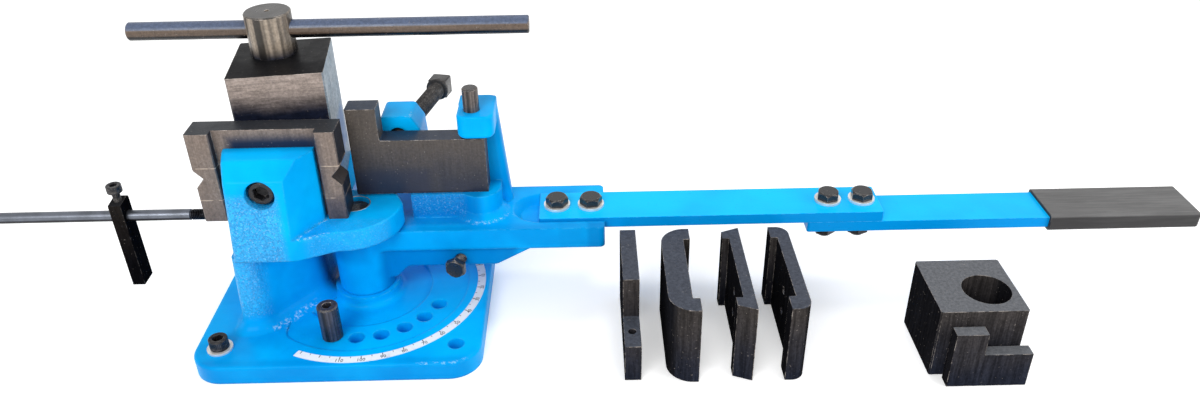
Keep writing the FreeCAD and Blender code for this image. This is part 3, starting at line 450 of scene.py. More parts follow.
@dataclass(frozen=True)
class CastEnamel(Finish):
    """Azure enamel on a sand casting, with pitted places and painted fillet glints.

    low and high are the heights between which it gets brighter, a painted light that
    stands for the upper parts being lit more.
    """

    edge_r: float = 0.0026
    wear: float = 1.0
    deep: Colour = (0.0, 0.33, 0.80)
    bright: Colour = (0.0, 0.45, 0.95)
    pale: Colour = (0.10, 0.60, 1.0)
    # painted highlight colour for glints
    glint: Colour = (0.60, 0.88, 1.0)
    # painted shade colour, for the pits and the shadow spots
    dusk: Colour = (0.0, 0.12, 0.42)
    night: Colour = (0.0, 0.03, 0.11)
    gloss_tint: Colour = (0.1, 0.6, 1.0)
    pitted: Tuple[Spot, ...] = ()
    sparkling: Tuple[Spot, ...] = ()
    # painted shade: near-black spots in deep gaps
    shaded: Tuple[Spot, ...] = ()
    # painted shade: soft boxes where less light falls, under overhangs and on lower fronts
    toned: Tuple[Spot, ...] = ()
    low: float = 0.02
    high: float = 0.12
    pit_coat: float = 0.5
    # painted highlight: share by which pitted spots turn pale
    pit_pale: float = 0.20
    # painted shade: share by which the pits darken
    pit_dusk: float = 0.46
    # painted highlight: share of glint grains in pitted spots
    pit_glint: float = 0.24
    shade_share: float = 0.88
    # painted highlight: share of pale along the edges
    edge_pale: float = 0.22
    fillet_reach: float = 0.0030

    def fill(self, s: Coat) -> None:
        """Connect the finish's own nodes to its shader.

        Args:
            s: the material's sheet.
        """
        rough = spotted(s, self.pitted, fade=0.010)
        dark = spotted(s, self.shaded, fade=0.014)
        shadow_mask = spotted(s, self.toned, fade=0.012)
        shine = spotted(s, self.sparkling, fade=0.006)
        skin = CAST_SKIN.use(s, Place=s.where, Roughness=rough)
        reach = s.plus(self.edge_r, s.times(shine, self.fillet_reach))
        edge = EDGE_WEAR_AND_SHEEN.use(s, Place=s.where, Radius=reach, Amount=self.wear)
        # painted light: the colour brightens with height, and the lower parts get painted shade
        lift = s.ramp(s.part(s.where, 2), self.low, self.high, -0.04, 0.12)
        cloudy = s.plus(s.ramp(skin["Clouds"], 0.3, 0.7), lift)
        grains = s.patches(Grain.GLINT_GRAINS, 0.55, 0.68)
        colour = s.mix(cloudy, self.deep, self.bright)
        # painted highlight: pale and glint grains on pitted spots, pale edges; painted shade:
        # pits, shadow spots and gap spots
        for paint, mask, share in ((self.pale, rough, self.pit_pale),
                                   (self.dusk, skin["Pits"], self.pit_dusk),
                                   (self.dusk, shadow_mask, 1.0),
                                   (self.glint, s.times(grains, rough), self.pit_glint),
                                   (self.night, dark, self.shade_share),
                                   (self.pale, edge["Mask"], self.edge_pale)):
            colour = s.tint(colour, paint, mask, share)
        # painted highlight: glints on fillet slopes inside the sparkling spots, mixed into the
        # base colour
        rise = s.part(edge["Normal"], 2)
        slope = s.times(s.ramp(rise, 0.72, 0.86), s.ramp(rise, 0.985, 0.95))
        glint_flecks = s.patches(Grain.FILLET_FLECKS, 0.50, 0.64)
        glints = s.times(s.times(slope, glint_flecks), shine)
        s.feed(s.shader, Base_Color=s.tint(colour, self.glint, glints),
               Roughness=s.plus(0.30, s.times(skin["Clouds"], 0.16)),
               Coat_Weight=s.plus(0.04, s.most(s.times(rough, self.pit_coat), glints)),
               Normal=s.bump(skin["Height"], 0.6, 0.0008, Normal=edge["Normal"]),
               Specular_IOR_Level=0.10, Specular_Tint=self.gloss_tint, Coat_Roughness=0.20)


@dataclass(frozen=True)
class BarEnamel(Finish):
    """Azure enamel on rolled flat bar, with painted shade on its upright faces and painted
    highlight along its edges.
    """

    grain: Point = (0.08, 1.0, 1.0)
    deep: Colour = (0.0, 0.42, 0.92)
    bright: Colour = (0.0, 0.54, 1.0)
    pale: Colour = (0.12, 0.62, 1.0)
    chip: Colour = (0.02, 0.06, 0.12)
    flank: Colour = (0.0, 0.27, 0.70)
    gloss_tint: Colour = (0.25, 0.7, 1.0)

    def fill(self, s: Coat) -> None:
        """Connect the finish's own nodes to its shader.

        Args:
            s: the material's sheet.
        """
        marks, edge = self.marks(s), self.edge(s)
        clouds = s.noise(s.where, Grain.BAR_CLOUDS)
        colour = s.mix(s.ramp(clouds, 0.3, 0.7), self.deep, self.bright)
        # painted shade: the upright faces turn darker than the tops
        colour = s.tint(colour, self.flank, s.ramp(s.part(s.facing(), 2), 0.6, 0.3))
        colour = s.tint(colour, self.chip, marks["Specks"], 0.3)
        level = s.plus(s.noise(s.where, Grain.BAR_PEEL), s.times(marks["Lines"], 0.25))
        # painted highlight: the edges turn pale
        s.feed(s.shader, Base_Color=s.tint(colour, self.pale, edge["Mask"]),
               Roughness=s.ramp(clouds, 0.2, 0.8, 0.26, 0.38),
               Coat_Weight=s.times(edge["Mask"], 0.6),
               Normal=s.bump(level, 0.22, 0.0004, Normal=edge["Normal"]),
               Specular_IOR_Level=0.14, Specular_Tint=self.gloss_tint, Coat_Roughness=0.15)


@dataclass(frozen=True)
class BlackOxide(Finish):
    """Blackened steel: brown-grey ground faces, dark tops, bright worn edges.

    low and high are the heights between which the sides go from blue-black to brown-grey, a
    painted reflection and shade; turn is the upward lean between which sides turn into tops,
    a painted light by facing; and bands are the heights of bright rubbed lines.
    """

    grain: Point = (0.06, 1.0, 1.0)
    edge_r: float = 0.0011
    wear: float = 0.8
    low: float = 0.0
    high: float = 0.1
    brown: Colour = (0.155, 0.112, 0.085)
    ink: Colour = (0.016, 0.017, 0.024)
    top: Colour = (0.026, 0.024, 0.021)
    shine: float = 0.40
    worn: Colour = (0.46, 0.41, 0.37)
    # painted light and shade on the faces towards ±X
    flank: Optional[Colour] = None
    gloss: float = 0.4
    streak: float = 0.30
    round_sheen: float = 0.0
    turn: Pair = (0.45, 0.85)
    # painted shade: soft boxes tinted towards the shade colour
    dusky: Tuple[Spot, ...] = ()
    # painted shade colour for the shade spots
    dusk: Colour = (0.008, 0.012, 0.035)
    bands: Tuple[float, ...] = ()
    rubbed: Colour = (0.60, 0.47, 0.36)

    def band(self, s: Coat, off: Socket) -> Socket:
        """Mask of a thin broken line.

        Args:
            s: the material's sheet.
            off: height over the line.

        Returns:
            The mask socket.
        """
        waver = s.times(s.noise(s.where, Grain.LINE_WAVER), 0.0012)
        line = s.ramp(s.plus(s.math("ABSOLUTE", off), waver), 0.0013, 0.0007)
        return s.times(line, s.patches(Grain.LINE_BREAKS, 0.42, 0.55))

    def side(self, s: Coat, streaks: Socket, across: Socket) -> Socket:
        """Colour of the upright faces, with painted reflection and shade by height and by side.

        Args:
            s: the material's sheet.
            streaks: the tool marks' streaks.
            across: the surface normal's part along X.

        Returns:
            The colour socket.
        """
        height = s.part(s.where, 2)
        clouds = s.math("SUBTRACT", s.noise(s.where, Grain.OXIDE_CLOUDS), 0.5)
        drift = s.times(clouds, 0.5 * (self.high - self.low))
        # painted reflection and shade: blue-black low down, brown-grey higher up
        side = s.mix(s.ramp(s.plus(height, drift), self.low, self.high), self.ink, self.brown)
        if self.flank is not None:
            # painted light and shade: faces towards ±X take the flank colour
            side = s.tint(side, self.flank, s.ramp(s.math("ABSOLUTE", across), 0.55, 0.9))
        side = s.shade(side, s.patches(Grain.OXIDE_GRIT, 0.30, 0.70, 0.72, 1.20))
        side = s.shade(side, s.add("MapRange", None, Value=streaks, To_Min=1.0 - self.streak,
                                   To_Max=1.0 + self.streak).outputs[0])
        # painted sheen: light and dark lobes around round pieces
        if self.round_sheen > 0.0:
            around = s.vector("MULTIPLY", s.facing(), (1.0, 1.0, 0.0))
            side = s.shade(side, s.ramp(s.noise(around, Grain.SHEEN_LOBES), 0.38, 0.62,
                                        1.0 - self.round_sheen, 1.0 + self.round_sheen))
        for level in self.bands:
            off = s.math("SUBTRACT", height, level)
            side = s.tint(side, self.rubbed, self.band(s, off), 0.7)
        # painted shade in the shade spots
        return s.tint(side, self.dusk, spotted(s, self.dusky, fade=0.012))

    def fill(self, s: Coat) -> None:
        """Connect the finish's own nodes to its shader.

        Args:
            s: the material's sheet.
        """
        marks, edge = self.marks(s), self.edge(s)
        facing = s.add("SeparateXYZ", None, i0=s.facing()).outputs
        side = self.side(s, marks["Streaks"], facing[0])
        top = s.shade(self.top, s.patches(Grain.TOP_GRIT, 0.30, 0.70, 0.75, 1.25))
        # painted light: tops take their own colour by how they face
        colour = s.mix(s.ramp(facing[2], *self.turn), side, top)
        colour = s.tint(colour, self.worn, marks["Scratches"], 0.35)
        colour = s.tint(colour, self.worn, marks["Specks"], 0.28)
        level = s.plus(s.times(marks["Lines"], 0.5), s.times(marks["Streaks"], 0.3))
        s.feed(s.shader, Base_Color=s.tint(colour, self.worn, edge["Mask"]),
               Roughness=s.patches(Grain.OIL_PATCHES, 0.25, 0.75, self.shine - 0.08,
                                   self.shine + 0.10),
               Metallic=s.times(edge["Mask"], 0.6),
               Normal=s.bump(level, 0.25, 0.0003, Normal=edge["Normal"]),
               Specular_IOR_Level=self.gloss)


@dataclass(frozen=True)
class TurnedMetal(Finish):
    """Bare turned, plated or cast metal with fine rings and dull patches.

    under is its painted underside shade, and also its own colour past dark_from along X.
    """

    grain: Point = (1.0, 0.05, 1.0)
    edge_r: float = 0.0004
    light: Colour = (0.52, 0.52, 0.53)
    dull: Colour = (0.28, 0.28, 0.29)
    shine: float = 0.26
    under: Colour = (0.30, 0.30, 0.31)
    dark_from: float = 10.0
    metal: float = 0.9

    def fill(self, s: Coat) -> None:
        """Connect the finish's own nodes to its shader.

        Args:
            s: the material's sheet.
        """
        marks, edge = self.marks(s), self.edge(s)
        clouds = s.noise(s.where, Grain.DULL_PATCHES)
        upward = s.part(s.add("NewGeometry").outputs["Normal"], 2)
        along_x = s.ramp(s.part(s.where, 0), self.dark_from, self.dark_from + 0.001)
        colour = s.mix(s.ramp(clouds, 0.35, 0.7), self.light, self.dull)
        colour = s.tint(colour, self.dull, marks["Scratches"], 0.4)
        # painted shade: the underside turns darker
        colour = s.tint(colour, self.under, s.ramp(upward, 0.1, -0.3))
        colour = s.tint(colour, self.under, along_x)
        s.feed(s.shader, Base_Color=s.tint(colour, self.light, edge["Mask"]),
               Roughness=s.ramp(clouds, 0.2, 0.8, self.shine, self.shine + 0.16),
               Normal=s.bump(marks["Lines"], 0.18, 0.0002, Normal=edge["Normal"]),
               Metallic=self.metal)


@dataclass(frozen=True)
class PrintedStrip(Finish):
    """White enamelled strip, a little soiled."""

    white: Colour = (0.80, 0.83, 0.87)
    soil: Colour = (0.36, 0.42, 0.50)

    def fill(self, s: Coat) -> None:
        """Connect the finish's own nodes to its shader.

        Args:
            s: the material's sheet.
        """
        marks = self.marks(s)
        clouds = s.patches(Grain.SOIL_PATCHES, 0.5, 0.78)
        colour = s.tint(self.white, self.soil, clouds, 0.55)
        s.feed(s.shader, Base_Color=s.tint(colour, self.soil, marks["Specks"], 0.5),
               Roughness=s.ramp(clouds, 0.0, 1.0, 0.32, 0.5),
               Normal=s.bump(marks["Lines"], 0.1, 0.0002))


@dataclass(frozen=True)
class Ink(Finish):
    """Black printing ink, thin in places."""

    black: Colour = (0.012, 0.014, 0.02)
    thin: Colour = (0.10, 0.12, 0.15)

    def fill(self, s: Coat) -> None:
        """Connect the finish's own nodes to its shader."""
        patches = s.patches(Grain.THIN_INK, 0.5, 0.7)
        s.feed(s.shader, Base_Color=s.mix(patches, self.black, self.thin),
               Roughness=s.ramp(patches, 0.0, 1.0, 0.4, 0.6))


@dataclass(frozen=True)
class SleeveRubber(Finish):
    """Dark grey grip sleeve, matt, with moulding grain, rubbed corners and a painted lighter
    top.
    """

    grain: Point = (0.05, 1.0, 1.0)
    edge_r: float = 0.0022
    body: Colour = (0.034, 0.033, 0.034)
    top: Colour = (0.125, 0.124, 0.124)
    rubbed: Colour = (0.17, 0.165, 0.16)

    def fill(self, s: Coat) -> None:
        """Connect the finish's own nodes to its shader.

        Args:
            s: the material's sheet.
        """
        marks, edge = self.marks(s), self.edge(s)
        clouds = s.noise(s.where, Grain.SLEEVE_CLOUDS)
        # painted light: the top is lighter than the sides
        colour = s.mix(s.ramp(s.part(s.facing(), 2), 0.2, 0.8), self.body, self.top)
        colour = s.shade(colour, s.ramp(marks["Streaks"], 0.0, 1.0, 0.82, 1.14))
        colour = s.shade(colour, s.ramp(clouds, 0.3, 0.7, 0.88, 1.08))
        level = s.plus(s.noise(s.where, Grain.MOULD_GRAIN), s.times(clouds, 1.5))
        s.feed(s.shader, Base_Color=s.tint(colour, self.rubbed, edge["Mask"]),
               Roughness=s.ramp(clouds, 0.2, 0.8, 0.48, 0.62),
               Normal=s.bump(level, 0.3, 0.0002, Normal=edge["Normal"]),
               Specular_IOR_Level=0.25)


BASE_PAINT = CastEnamel(
    "base_enamel", Slot.BLUE_CAST,
    pitted=(Spot((-0.072, -0.058, 0.117), (0.018, 0.010, 0.026)),
            Spot((-0.090, -0.056, 0.062), (0.010, 0.010, 0.026), 0.8),
            Spot((-0.036, 0.009, 0.045), (0.004, 0.006, 0.024), 0.8),
            Spot((0.004, -0.048, 0.097), (0.030, 0.016, 0.007), 0.35)),
    # painted glints along the head's bevel foot, the column foot and the plate edge
    sparkling=(Spot((-0.034, -0.046, 0.1075), (0.017, 0.020, 0.006)),
               Spot((-0.066, -0.046, 0.020), (0.010, 0.014, 0.004), 0.8),
               Spot((-0.052, -0.024, 0.024), (0.006, 0.010, 0.005), 0.8),
               Spot((0.080, -0.109, 0.016), (0.018, 0.004, 0.002), 0.6)),
    # painted shade in the gap between the column and the hub
    shaded=(Spot((-0.034, 0.010, 0.042), (0.004, 0.007, 0.022)),),
    # painted shade on the plate front and the slab front
    toned=(Spot((0.0, -0.114, 0.004), (0.16, 0.004, 0.008), 0.42),
           Spot((-0.025, -0.059, 0.098), (0.035, 0.006, 0.006), 0.18)))
ARM_PAINT = CastEnamel(
    "arm_enamel", Slot.BLUE_CAST, low=0.05, high=0.17, pit_coat=0.12,
    pitted=(Spot((0.068, 0.008, 0.100), (0.022, 0.006, 0.007), 0.7),),
    # painted glints on the arm and the pillar
    sparkling=(Spot((0.118, 0.002, 0.0865), (0.018, 0.010, 0.003), 0.8),
               Spot((0.052, 0.036, 0.168), (0.008, 0.008, 0.006), 0.5)),
    # painted shade on the rib, ledge, fronts, fork end, wall and under the slab
    toned=(Spot((0.080, -0.012, 0.045), (0.055, 0.012, 0.016), 0.66),
           Spot((0.070, 0.010, 0.098), (0.034, 0.006, 0.008), 0.60),
           Spot((0.130, -0.016, 0.079), (0.11, 0.004, 0.008), 0.22),
           Spot((0.205, -0.014, 0.078), (0.022, 0.006, 0.010), 0.34),
           Spot((0.215, -0.014, 0.078), (0.006, 0.006, 0.010), 0.60),
           Spot((0.119, 0.036, 0.135), (0.012, 0.004, 0.030), 0.38),
           Spot((-0.010, -0.022, 0.074), (0.014, 0.008, 0.008), 0.34)))
BAR_PAINT = BarEnamel("bar_enamel", Slot.BLUE_BAR)
DIE_BLACK = BlackOxide(
    "die_black", Slot.WORN_BLACK, low=0.100, high=0.145, brown=(0.195, 0.149, 0.122),
    ink=(0.118, 0.092, 0.084), top=(0.012, 0.015, 0.020), flank=(0.012, 0.015, 0.023),
    grain=(1.0, 1.0, 0.05), gloss=0.35, streak=0.20, bands=(0.1285, 0.1595),
    # painted shade in the channel web
    dusky=(Spot((-0.055, -0.017, 0.160), (0.032, 0.0035, 0.018)),
           Spot((-0.010, -0.0245, 0.112), (0.012, 0.003, 0.012), 0.45)))
BLOCK_BLACK = BlackOxide(
    "block_black", Slot.WORN_BLACK, low=0.189, high=0.217, brown=(0.31, 0.255, 0.225),
    ink=(0.008, 0.011, 0.024), top=(0.004, 0.004, 0.005), flank=(0.22, 0.29, 0.35),
    grain=(0.05, 1.0, 1.0), gloss=0.10, dusk=(0.02, 0.13, 0.36),
    # painted blue shade on the block
    dusky=(Spot((-0.018, 0.045, 0.146), (0.006, 0.040, 0.014), 0.75),))
PLATE_BLACK = BlackOxide(
    "plate_black", Slot.WORN_BLACK, low=0.105, high=0.178, brown=(0.074, 0.060, 0.050),
    ink=(0.020, 0.022, 0.034), top=(0.012, 0.020, 0.040), grain=(1.0, 1.0, 0.06),
    gloss=0.34, streak=0.14, dusk=(0.012, 0.016, 0.036),
    # painted shade on the press plate
    dusky=(Spot((0.034, 0.012, 0.118), (0.026, 0.004, 0.010), 0.7),
           Spot((0.094, 0.012, 0.112), (0.012, 0.004, 0.004), 0.4)))
PIN_BLACK = BlackOxide(
    "pin_black", Slot.BLACK, low=0.225, high=0.238, brown=(0.22, 0.18, 0.14),
    ink=(0.012, 0.014, 0.024), top=(0.048, 0.045, 0.043), grain=(1.0, 1.0, 0.2),
    shine=0.30, round_sheen=0.85, streak=0.15, wear=1.2)
STUD_BLACK = BlackOxide(
    "stud_black", Slot.BLACK, high=0.21, brown=(0.092, 0.074, 0.065),
    ink=(0.024, 0.028, 0.046), top=(0.040, 0.037, 0.036), grain=(1.0, 1.0, 0.2),
    shine=0.28, round_sheen=0.8, streak=0.15, wear=1.5)
HANGER_BLACK = BlackOxide(
    "hanger_black", Slot.BLACK, low=0.04, high=0.12, brown=(0.014, 0.012, 0.011),
    ink=(0.003, 0.003, 0.004), top=(0.020, 0.020, 0.022), flank=(0.004, 0.004, 0.005),
    grain=(1.0, 1.0, 0.2), gloss=0.0, wear=0.25, shine=0.5)
# painted reflection: bluish tops, brown upper and dark lower sides
BAR_BLACK = BlackOxide(
    "bar_black", Slot.BLACK, low=0.2434, high=0.2456, brown=(0.115, 0.080, 0.058),
    ink=(0.004, 0.004, 0.005), top=(0.072, 0.096, 0.160), turn=(0.32, 0.50),
    grain=(0.04, 1.0, 1.0), shine=0.28, streak=0.2, gloss=0.35)
SCREW_BLACK = BlackOxide(
    "screw_black", Slot.BLACK, low=-0.05, high=0.25, brown=(0.020, 0.019, 0.021),
    ink=(0.012, 0.012, 0.015), top=(0.016, 0.016, 0.018), shine=0.24, wear=0.9,
    gloss=0.42, streak=0.1)
CAP_BLACK = replace(
    SCREW_BLACK, name="cap_black", brown=(0.016, 0.016, 0.019), ink=(0.010, 0.010, 0.013),
    top=(0.012, 0.012, 0.014), shine=0.26, wear=0.25, gloss=0.30)
SQUARE_BLACK = replace(
    SCREW_BLACK, name="square_black", high=0.10, brown=(0.046, 0.044, 0.044),
    ink=(0.012, 0.012, 0.014), top=(0.012, 0.010, 0.010), turn=(0.25, 0.7), shine=0.28,
    wear=0.35, gloss=0.30)
# painted light: lighter tops, dark faces towards ±X
LOOSE_BLACK = BlackOxide(
    "loose_black", Slot.WORN_BLACK, low=-0.01, high=0.080, brown=(0.042, 0.037, 0.035),
    ink=(0.014, 0.017, 0.028), top=(0.125, 0.130, 0.142), flank=(0.009, 0.009, 0.011),
    grain=(1.0, 1.0, 0.06), gloss=0.0, streak=0.40)
SPARE_DIE_BLACK = replace(LOOSE_BLACK, name="spare_die_black", top=(0.066, 0.073, 0.092),
                          wear=1.0)
STEEL = TurnedMetal("turned_steel", Slot.BRIGHT)
ROD_STEEL = TurnedMetal("rod_steel", Slot.BRIGHT, light=(0.155, 0.168, 0.20),
                        dull=(0.11, 0.12, 0.14), under=(0.012, 0.012, 0.015),
                        grain=(0.03, 1.0, 1.0), dark_from=-0.1488)
ZINC = TurnedMetal("zinc_plate", Slot.ZINC, light=(0.88, 0.88, 0.87),
                   dull=(0.62, 0.61, 0.58), metal=0.5)
BRONZE = TurnedMetal("bearing_bronze", Slot.BRONZE, light=(0.66, 0.44, 0.20),
                     dull=(0.36, 0.22, 0.10))
STRIP = PrintedStrip("scale_enamel", Slot.SCALE)
INK = Ink("scale_ink", Slot.SCALE)
SLEEVE = SleeveRubber("sleeve_rubber", Slot.GRIP)


# ------------------------------------------------------------------ mesh building
def show(obj: bpy.types.Object) -> None:
    """Put an object in the scene."""
    bpy.context.scene.collection.objects.link(obj)


def neighbours(count: int) -> Iterator[Tuple[int, int]]:
    """Each place in a ring with the next one."""
    return ((i, (i + 1) % count) for i in range(count))


class Shape:
    """Mesh data gathered from rings and faces before it becomes a piece."""

    def __init__(self) -> None:
        """Start empty."""
        self.points: List[Vector] = []
        self.faces: List[Tuple[int, ...]] = []

    def ring(self, points: Sequence[Vector]) -> List[int]:
        """Add points and give their numbers."""
        self.points.extend(points)
        return list(range(len(self.points) - len(points), len(self.points)))

    def skin(self, a: Sequence[int], b: Sequence[int]) -> None:
        """Join two rings of the same count with quads."""
        self.faces.extend((a[i], a[j], b[j], b[i]) for i, j in neighbours(len(a)))

    def cap(self, ring: Sequence[int], flip: bool = False) -> None:
        """Close a ring with a fan about its middle.

        Args:
            ring: the numbers of its points.
            flip: whether the faces turn over.
        """
        middle = sum((self.points[i] for i in ring), Vector()) / len(ring)
        centre = self.ring([middle])[0]
        for i, j in neighbours(len(ring)):
            face = (ring[i], ring[j], centre)
            self.faces.append(face[::-1] if flip else face)

    def tube(self, rings: Sequence[Sequence[Vector]], start: bool = True,
             end: bool = True) -> None:
        """Skin a row of rings.

        Args:
            rings: the rings' points.
            start: whether the first ring is closed.
            end: whether the last ring is closed.
        """
        numbers = [self.ring(r) for r in rings]
        for a, b in zip(numbers, numbers[1:]):
            self.skin(a, b)
        if start:
            self.cap(numbers[0], flip=True)
        if end:
            self.cap(numbers[-1])

    def piece(self, name: str, finish: Finish, body: Body, place: Matrix,
              replaces: Sequence[str] = ()) -> None:
        """Make the gathered mesh into a piece that rides on a body.

        Args:
            name: the piece's name.
            finish: its finish.
            body: the body that it moves with.
            place: where its own coordinates lie in the row frame.
            replaces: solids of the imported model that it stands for.
        """
        mesh = bpy.data.meshes.new(name)
        mesh.from_pydata([tuple(p) for p in self.points], [], self.faces)
        work = bmesh.new()
        work.from_mesh(mesh)
        bmesh.ops.remove_doubles(work, verts=work.verts, dist=1e-7)
        bmesh.ops.recalc_face_normals(work, faces=work.faces)
        work.to_mesh(mesh)
        work.free()
        obj = bpy.data.objects.new(name, mesh)
        show(obj)
        mesh.transform(place)
        mesh.materials.append(finish.build())
        smooth(mesh, PIECE_CREASE_DEG)
        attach(obj, body.value)
        if replaces:
            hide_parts(*replaces)
        LOG.info("%s: %d faces", name, len(mesh.polygons))


def smooth(mesh: bpy.types.Mesh, degrees: float) -> None:
    """Smooth a mesh's faces, but leave edges sharper than an angle."""
    mesh.shade_smooth()
    mesh.set_sharp_from_angle(angle=math.radians(degrees))


def polar(radius: float, angle: float, height: float) -> Vector:
    """Point about Z by its radius, angle and height."""
    return Vector((radius * math.cos(angle), radius * math.sin(angle), height))


def circle(radius: float, height: float, count: int) -> List[Vector]:
    """Points round a circle about Z."""
    return [polar(radius, ROUND * i / count, height) for i in range(count)]


def hexagon(flats: float, height: float, count: int) -> List[Vector]:
    """Points round a hexagon about Z, as many as a circle that joins it.

    Args:
        flats: width across its flats.
        height: their height.
        count: how many points.

    Returns:
        The points.
    """
    points = []
    for i in range(count):
        angle = ROUND * i / count
        off = (angle + math.pi / 6) % (math.pi / 3) - math.pi / 6
        points.append(polar(flats / 2 / math.cos(off), angle, height))
    return points


def thread_rings(radius: float, pitch: float, start: float,
                 end: float) -> List[List[Vector]]:
    """Rings of a screw thread along Z.

    Args:
        radius: radius over the crests.
        pitch: length of one turn.
        start: height of the first ring.
        end: height of the last ring.

    Returns:
        The rings, run out to a plain chamfer at both ends.
    """
    depth, flank_part = THREAD_DEPTH * pitch, 1.0 - 2.0 * THREAD_CREST
    total = max(2, int(abs(end - start) / pitch * THREAD_STEPS))
    rings = []
    for k in range(total + 1):
        z = start + (end - start) * k / total
        run_out = radius - depth * max(0.0, 1.0 - min(k, total - k) / THREAD_STEPS)
        ring = []
        for i in range(THREAD_COUNT):
            turn = (z / pitch - i / THREAD_COUNT) % 1.0
            groove = 1.0 - abs(2.0 * turn - 1.0)
            flank = min(max((groove - THREAD_CREST) / flank_part, 0.0), 1.0)
            inward = min(radius - depth * flank, run_out)
            ring.append(polar(inward, ROUND * i / THREAD_COUNT, z))
        rings.append(ring)
    return rings


def along(start: Sequence[float], direction: Vector) -> Matrix:
    """Placement that turns Z to a direction and moves the origin to a point."""
    turn = direction.to_track_quat("Z", "Y").to_matrix().to_4x4()
    return Matrix.Translation(Vector(start)) @ turn


@dataclass
class CapScrew:
    """Socket-head cap screw with a knurled head, its seat at z = 0 and its head above.

    edge and knurl_deep are shares of the head's radius, and knurl is shares of its height.
    The socket's radii are shares of its width, and its heights of the head's height.
    """

    shank_r: float
    head_r: float
    head_high: float
    socket: float
    shank: float
    pitch: float
    teeth: int = 44
    edge: float = 0.08
    knurl: Pair = (0.16, 0.84)
    knurl_deep: float = 0.045
    tooth: Tuple[float, ...] = (0.0, 0.7, 1.0, 0.7)
    mouth_r: float = 0.60
    mouth_bevel: float = 0.05
    socket_floor: float = 0.42
    drill_point: Pair = (0.18, 0.34)

    def grip(self, height: float, depth: float) -> List[Vector]:
        """One ring of the knurl.

        Args:
            height: the ring's height.
            depth: how deep its grooves are.

        Returns:
            The ring's points.
        """
        points = circle(self.head_r, height, self.teeth * len(self.tooth))
        for i, p in enumerate(points):
            scale = (self.head_r - depth * self.tooth[i % len(self.tooth)]) / self.head_r
            p.x *= scale
            p.y *= scale
        return points

    def head(self, shape: Shape) -> None:
        """Build the knurled head with its socket.

        Args:
            shape: where the mesh goes.
        """
        count = self.teeth * len(self.tooth)
        top, socket = self.head_high, self.socket
        low, high = (share * top for share in self.knurl)
        edge, depth = self.edge * self.head_r, self.knurl_deep * self.head_r
        outside = [circle(self.shank_r, 0.0, count), circle(self.head_r - edge / 2, 0.0, count),
                   circle(self.head_r, edge / 2, count), self.grip(low, 0.0),
                   self.grip(low + depth, depth), self.grip(high - depth, depth),
                   self.grip(high, 0.0), circle(self.head_r, top - edge, count),
                   circle(self.head_r - edge, top, count)]
        point_r, point_high = self.drill_point
        inside = [circle(socket * self.mouth_r, top, count),
                  hexagon(socket, top - self.mouth_bevel * top, count),
                  hexagon(socket, top * self.socket_floor, count),
                  circle(socket * point_r, top * point_high, count)]
        shape.tube(outside + inside, start=False)

    def build(self, name: str, body: Body, place: Matrix, stands_for: str) -> None:
        """Make the screw.

        Args:
            name: the piece's name.
            body: the body that it moves with.
            place: where its seat and direction lie.
            stands_for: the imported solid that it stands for.
        """
        shape = Shape()
        self.head(shape)
        shape.tube(thread_rings(self.shank_r, self.pitch, -self.shank, 0.0))
        shape.piece(name, CAP_BLACK, body, place, [stands_for])


# ------------------------------------------------------------------ sub-assemblies
@dataclass
class Unit:
    """A sub-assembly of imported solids, and the pieces that it adds."""

    coats: ClassVar[Dict[str, Finish]] = {}

    def build(self) -> None:
        """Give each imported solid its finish, then add the unit's own pieces."""
        for node, finish in self.coats.items():
            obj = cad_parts[node]
            obj.data.materials.clear()
            obj.data.materials.append(finish.build())
            smooth(obj.data, SOLID_CREASE_DEG)
            LOG.info("%s coated with %s", node, finish.name)
        self.detail()

    def detail(self) -> None:
        """Add the unit's own pieces; a plain unit has none."""


